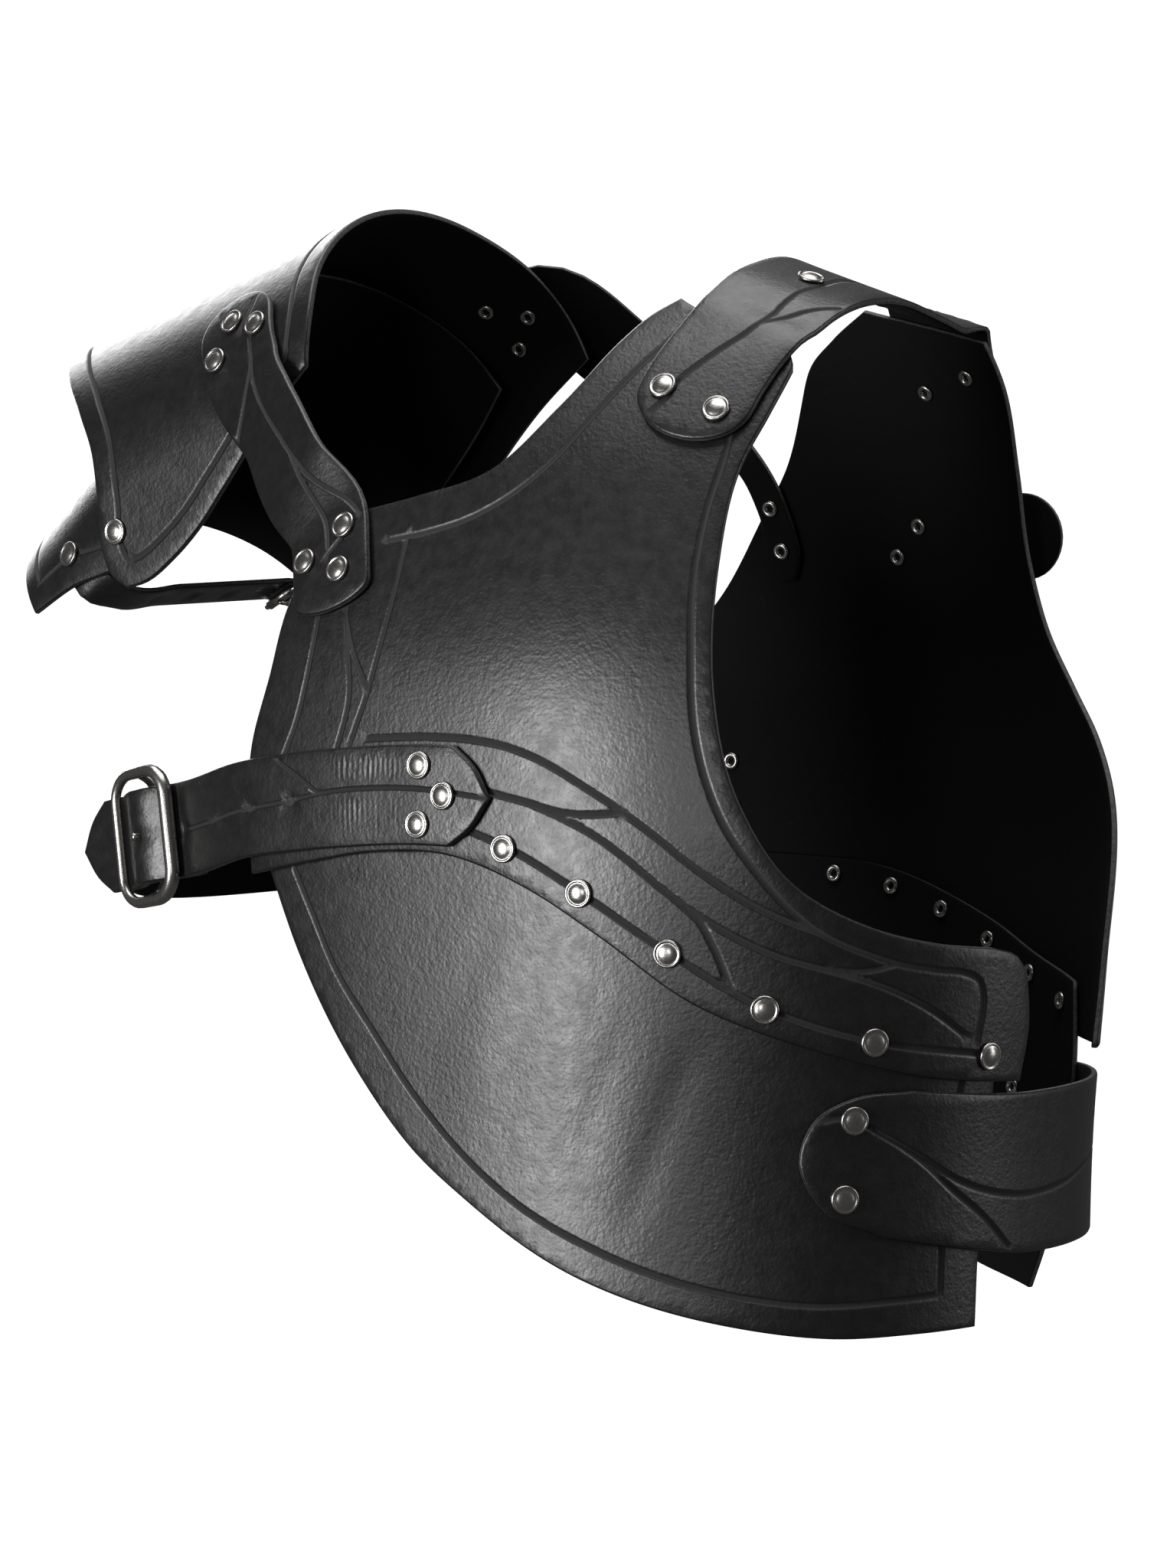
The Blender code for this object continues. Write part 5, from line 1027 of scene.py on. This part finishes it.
# Arm strap and chape: a narrow strap riveted inside the lower lame's front tip runs under the arm
# through a roller buckle, which a short folded chape holds behind. Nothing on it is carved.
ARM_STRAP_WIDTH, ARM_LEATHER, ARM_HOLE, ARM_HOLE_PITCH = 0.018, 0.0025, 0.004, 0.024
ARM_BUCKLE_LENGTH, ARM_BUCKLE_WIRE, ARM_BUCKLE_ROLLER = 0.018, 0.0026, 0.0046
ARM_STRAP_SHARE, ARM_RIVET_ANGLE = 0.80, 76
arm_pins = [(ARM_STRAP_SHARE, -ARM_RIVET_ANGLE), (ARM_STRAP_SHARE - 0.06, ARM_RIVET_ANGLE)]
STRAP_BASE = -(ARM_LEATHER + 0.0008)
BEND_DROP, ARM_BUCKLE_SHARE, ARM_LAID = 0.005, 0.78, 0.024
ARM_NORMAL = Vector((0.45, 0, -0.89)).normalized()


def inside_lame(share, angle):
    """A stop on the inner side of the lower lame, less a layer of arm leather."""
    return LOWER_LAME.stop(share, angle, STRAP_BASE)


front_bend = inside_lame(arm_pins[0][0], -91)[0] + Vector((0.006, 0.012, -BEND_DROP))
rear_bend = inside_lame(arm_pins[1][0], 91)[0] + Vector((0.006, -0.012, -BEND_DROP))
ARM_ALONG = (rear_bend - front_bend).normalized()
ARM_NORMAL = (ARM_NORMAL - ARM_ALONG * ARM_NORMAL.dot(ARM_ALONG)).normalized()
ARM_SIDE = ARM_NORMAL.cross(ARM_ALONG)
ARM_BUCKLE_CENTRE = front_bend.lerp(rear_bend, ARM_BUCKLE_SHARE)
HALF_FRAME = ARM_BUCKLE_LENGTH / 2
ROLLER_LEVEL = ARM_LEATHER + ARM_BUCKLE_ROLLER / 2 + 0.0008
REAR_BAR_LEVEL = 0.0004
BAR_REACH = ARM_BUCKLE_WIRE / 2 + 0.0005
OVER_CHAPE = REAR_BAR_LEVEL + BAR_REACH + ARM_LEATHER + 0.0008


def in_arm_buckle(along, side, level):
    """A point along and across the arm buckle, at a level out of its plane."""
    return ARM_BUCKLE_CENTRE + ARM_ALONG * along + ARM_SIDE * side + ARM_NORMAL * level


arm_route = Route((
    inside_lame(arm_pins[0][0], -64), inside_lame(arm_pins[0][0], -78), inside_lame(arm_pins[0][0], -91),
    (front_bend, ARM_NORMAL), (front_bend.lerp(rear_bend, 0.2), ARM_NORMAL),
    (front_bend.lerp(rear_bend, 0.5), ARM_NORMAL), (in_arm_buckle(-1.6 * HALF_FRAME, 0, 0), ARM_NORMAL),
    (in_arm_buckle(-0.9 * HALF_FRAME, 0, 0), ARM_NORMAL),
    (in_arm_buckle(0.9 * HALF_FRAME, 0, OVER_CHAPE), ARM_NORMAL),
    (in_arm_buckle(2.3 * HALF_FRAME, 0, OVER_CHAPE + 0.0006), ARM_NORMAL)))
arm_seat = arm_route.seat(0, ((0, ARM_LAID, 0.008, LOWER_LAME.on, STRAP_BASE),))
arm_hole_at = arm_route.nearest(front_bend) + 0.020
arm_holes = [ring((arm_hole_at + ARM_HOLE_PITCH * k, 0), ARM_HOLE) for k in range(4)]
prong_hole_at = arm_route.nearest(in_arm_buckle(0, 0, OVER_CHAPE / 2))
PRONG_HOLE_HALF, SLOT_HALF_WIDTH = 0.0055, 0.0022
arm_holes.append([Vector((prong_hole_at + x * PRONG_HOLE_HALF, y * SLOT_HALF_WIDTH))
                  for x, y in ((-1, -1), (1, -1), (1, 1), (-1, 1))])
cut_leather("cut_arm_strap", round_ended(0, arm_route.length, ARM_STRAP_WIDTH, 0.8, 0.8), arm_seat, [],
            arm_holes, ARM_LEATHER, 0.0035, node="arm_strap")
bar = in_arm_buckle(HALF_FRAME, 0, REAR_BAR_LEVEL)
round_the_bar = [ARM_NORMAL * sin(radians(angle)) - ARM_ALONG * cos(radians(angle))
                 for angle in (60, 30, 0, -30, -60)]
fold = [(bar + BAR_REACH * out, out) for out in round_the_bar]
chape_route = Route((
    inside_lame(arm_pins[1][0], 64), inside_lame(arm_pins[1][0], 78), inside_lame(arm_pins[1][0], 91),
    (rear_bend, ARM_NORMAL), (bar + ARM_NORMAL * BAR_REACH + ARM_ALONG * 0.010, ARM_NORMAL),
    (bar + ARM_NORMAL * BAR_REACH, ARM_NORMAL), *fold, (bar - ARM_NORMAL * BAR_REACH, -ARM_NORMAL),
    (bar - ARM_NORMAL * BAR_REACH + ARM_ALONG * 0.012, -ARM_NORMAL)))
chape_seat = chape_route.seat(0, ((0, ARM_LAID, 0.008, LOWER_LAME.on, STRAP_BASE),))
fold_at = chape_route.nearest(fold[2][0])
slot_half = pi * BAR_REACH / 2 + 0.0035
slot_along = steps(fold_at - slot_half, fold_at + slot_half, 0.001)
slot = ([Vector((x, -SLOT_HALF_WIDTH)) for x in slot_along]
        + [Vector((x, SLOT_HALF_WIDTH)) for x in reversed(slot_along)])
chape_stations = (steps(0, fold_at - 0.009, 0.0035) + steps(fold_at - 0.008, fold_at + 0.008, 0.0008)
                  + steps(fold_at + 0.010, chape_route.length, 0.003))
cut_leather("cut_arm_chape", round_ended(0, chape_route.length, ARM_STRAP_WIDTH, 0.8), chape_seat, [], [slot],
            ARM_LEATHER, 0.0035, stations=chape_stations, node="arm_buckle_chape")


# Arm buckle: a small roller buckle of nickel-plated wire. The chape folds round its plain bar,
# and its prong goes through the strap's slot and rests on the roller.
def arm_frame_point(x, y):
    """A point of the frame, which rises from the chape's bar to the roller."""
    share = (HALF_FRAME - x) / (2 * HALF_FRAME)
    return in_arm_buckle(x, y, REAR_BAR_LEVEL + (ROLLER_LEVEL - REAR_BAR_LEVEL) * share)


arm_half_height = ARM_STRAP_WIDTH / 2 + ARM_BUCKLE_WIRE / 2 + 0.0012
arm_frame = rounded_frame(HALF_FRAME, arm_half_height, 0.0035, arm_frame_point)
roller_reach = ARM_STRAP_WIDTH / 2 - 0.001
prong_points = smooth_run([
    in_arm_buckle(HALF_FRAME, 0, REAR_BAR_LEVEL), in_arm_buckle(0, 0, OVER_CHAPE / 2 + ARM_LEATHER / 2),
    in_arm_buckle(-HALF_FRAME, 0, ROLLER_LEVEL + ARM_BUCKLE_ROLLER / 2 + 0.00066),
    in_arm_buckle(-HALF_FRAME * 1.3, 0, ROLLER_LEVEL + ARM_BUCKLE_ROLLER / 2)], 0.001)
add_piece("small_roller_buckle", merged([
    wire(arm_frame, [ARM_BUCKLE_WIRE] * len(arm_frame), True),
    wire([in_arm_buckle(-HALF_FRAME, y, ROLLER_LEVEL) for y in (-roller_reach, roller_reach)],
         [ARM_BUCKLE_ROLLER] * 2),
    wire(prong_points, [0.0022] * len(prong_points))]), (NICKEL,), "satin_nickel", "arm_buckle")


# Rivets: turned and nickel-plated tubular rivets. Each has a low cap with a raised rim round a
# shallow dome, and its tube is rolled open against the flesh side, so the back is a dark-holed ring.
RIVET_CAP, RIVET_SHANK, RIVET_BACK, RIVET_HOLE = 0.0115, 0.004, 0.008, 0.003
# The rolled end: a diameter, the distance from the axis as a share of it, and the height over the
# leather's inner side
ROLLED_END = ((RIVET_HOLE, 0, 0.0012), (RIVET_HOLE, 0.42, 0.0010), (RIVET_HOLE, 0.5, 0.0001),
              (RIVET_HOLE, 0.58, -0.0007), (RIVET_BACK, 0.35, -0.0011), (RIVET_BACK, 0.44, -0.0009),
              (RIVET_BACK, 0.5, -0.0002), (RIVET_BACK, 0.49, 0), (RIVET_SHANK, 0.5, 0))
# Distance from the axis and height over the leather's outer side, as shares of the cap's diameter
CAP_PROFILE = ((0.495, 0.010), (0.500, 0.050), (0.482, 0.092), (0.448, 0.112), (0.412, 0.104), (0.385, 0.082),
               (0.365, 0.080), (0.300, 0.118), (0.200, 0.150), (0.100, 0.166), (0, 0.168))


def lathe(profile):
    """A closed turned shape about Z from a profile of radii and heights that starts and ends on the axis."""
    mesh = bmesh.new()
    verts = [mesh.verts.new((radius, 0, height)) for radius, height in profile]
    edges = [mesh.edges.new(pair) for pair in zip(verts, verts[1:])]
    bmesh.ops.spin(mesh, geom=verts + edges, axis=(0, 0, 1), cent=(0, 0, 0), steps=24, angle=2 * pi,
                   use_merge=True)
    bmesh.ops.remove_doubles(mesh, verts=mesh.verts[:], dist=1e-6)
    bmesh.ops.recalc_face_normals(mesh, faces=mesh.faces[:])
    return mesh


def set_rivets(name, feet, low, high, node_stem=None):
    """Rivets from an inner height to an outer height on the axes through their feet."""
    profile = [(share * diameter, low + height) for diameter, share, height in ROLLED_END]
    profile.append((RIVET_SHANK / 2, high))
    profile += [(share * RIVET_CAP, high + level * RIVET_CAP) for share, level in CAP_PROFILE]
    turned = []
    for foot, outward in feet:
        mesh = lathe(profile)
        turn = outward.to_track_quat("Z", "Y").to_matrix().to_4x4()
        bmesh.ops.transform(mesh, matrix=Matrix.Translation(foot) @ turn, verts=mesh.verts[:])
        turned.append(mesh)
    nodes = [f"{node_stem}_{k + 1}" for k in range(len(feet))] if node_stem else []
    add_piece(name, merged(turned), (NICKEL,), "satin_nickel", *nodes)


def body_feet(*places):
    """Feet on the body form at turns and shares of TORSO_HEIGHT."""
    return [body_stop(turn, share, 0.0) for turn, share in places]


def strap_feet(form, seat, *spots):
    """Feet on a form under spots on a strap."""
    return [form(seat(along, across)[0]) for along, across in spots]


SEATING = 0.0004
THROUGH_ONE = (-SEATING, LEATHER + SEATING)
THROUGH_TWO = (-SEATING, LAYER + LEATHER + SEATING)
UNDER_TOP = (OUTER - SEATING, TOP + LEATHER + SEATING)
UNDER_OUTER = (INNER - SEATING, OUTER + LEATHER + SEATING)
set_rivets("shoulder_front_rivets", strap_feet(on_body, shoulder_seat, (0.0200, 0.0145), (0.0158, -0.0120)),
           *UNDER_TOP, "rivet_shoulder_front")
set_rivets("shoulder_rear_rivets", strap_feet(
    on_body, shoulder_seat, (shoulder_length - 0.026, -0.013), (shoulder_length - 0.015, 0.013)),
    *UNDER_TOP, "rivet_shoulder_rear")
set_rivets("shoulder_crest_rivet", [shoulder_seat(0.104, 0.001)], *THROUGH_ONE)
set_rivets("waist_strap_rivets", strap_feet(
    on_body, front_waist_seat, (0.021, 0), (0.033, 0.0118), (0.033, -0.0118)),
    *UNDER_TOP, "rivet_waist_strap")
set_rivets("rear_waist_strap_rivets", strap_feet(
    on_body, rear_waist_seat, (rear_end - 0.036, 0.0105), (rear_end - 0.036, -0.0105)),
    *UNDER_TOP, "rivet_rear_waist_strap")
set_rivets("waist_row_rivets", body_feet(
    (16, 0.529), (27.5, 0.565), (39, 0.614), (50, 0.660), (62, 0.688), (77, 0.704)),
    *UNDER_OUTER, "rivet_waist_row")
set_rivets("back_row_rivets", body_feet(
    (172, 0.574), (159, 0.584), (148, 0.604), (138, 0.630), (129, 0.658), (121, 0.680)),
    *UNDER_OUTER, "rivet_back_row")
set_rivets("side_front_rivets", body_feet((60, 0.754), (59, 0.821)), *UNDER_OUTER, "rivet_side_front")
set_rivets("side_rear_rivets", body_feet((131, 0.765), (131, 0.832)), *UNDER_OUTER, "rivet_side_rear")
set_rivets("front_strap_low_rivets", strap_feet(
    on_body, front_strap_seat, (front_strap_length - 0.0345, 0.0090), (front_strap_length - 0.0265, -0.0125),
    (front_strap_length - 0.0160, 0.0052)), *UNDER_TOP, "rivet_front_strap_low")
set_rivets("rear_strap_low_rivets", strap_feet(
    on_body, rear_strap_seat, (rear_strap_length - 0.034, 0), (rear_strap_length - 0.014, 0)),
    *UNDER_OUTER, "rivet_rear_strap_low")
set_rivets("back_tab_rivets", strap_feet(on_body, back_tab_seat, (0.011, 0.006), (0.027, -0.006)),
           *UNDER_TOP, "rivet_back_tab")
set_rivets("front_strap_top_rivets", strap_feet(
    UPPER_LAME.on, front_strap_seat, (0.0150, -0.0015), (0.0240, 0.0120), (0.0295, -0.0120)),
    *THROUGH_TWO, "rivet_front_strap_top")
set_rivets("rear_strap_top_rivets", strap_feet(
    UPPER_LAME.on, rear_strap_seat, (0.0195, -0.0118), (0.0365, 0), (0.0235, 0.0118)),
    *THROUGH_TWO, "rivet_rear_strap_top")
set_rivets("pauldron_pins", [UPPER_LAME.stop(PIVOT_SHARE, angle) for angle in (-PIVOT_ANGLE, PIVOT_ANGLE)],
           -LAYER - SEATING, LEATHER + SEATING, "rivet_pauldron_pin")
set_rivets("arm_strap_rivets", [LOWER_LAME.stop(*pin) for pin in arm_pins],
           STRAP_BASE - SEATING, LEATHER + SEATING, "rivet_arm_strap")
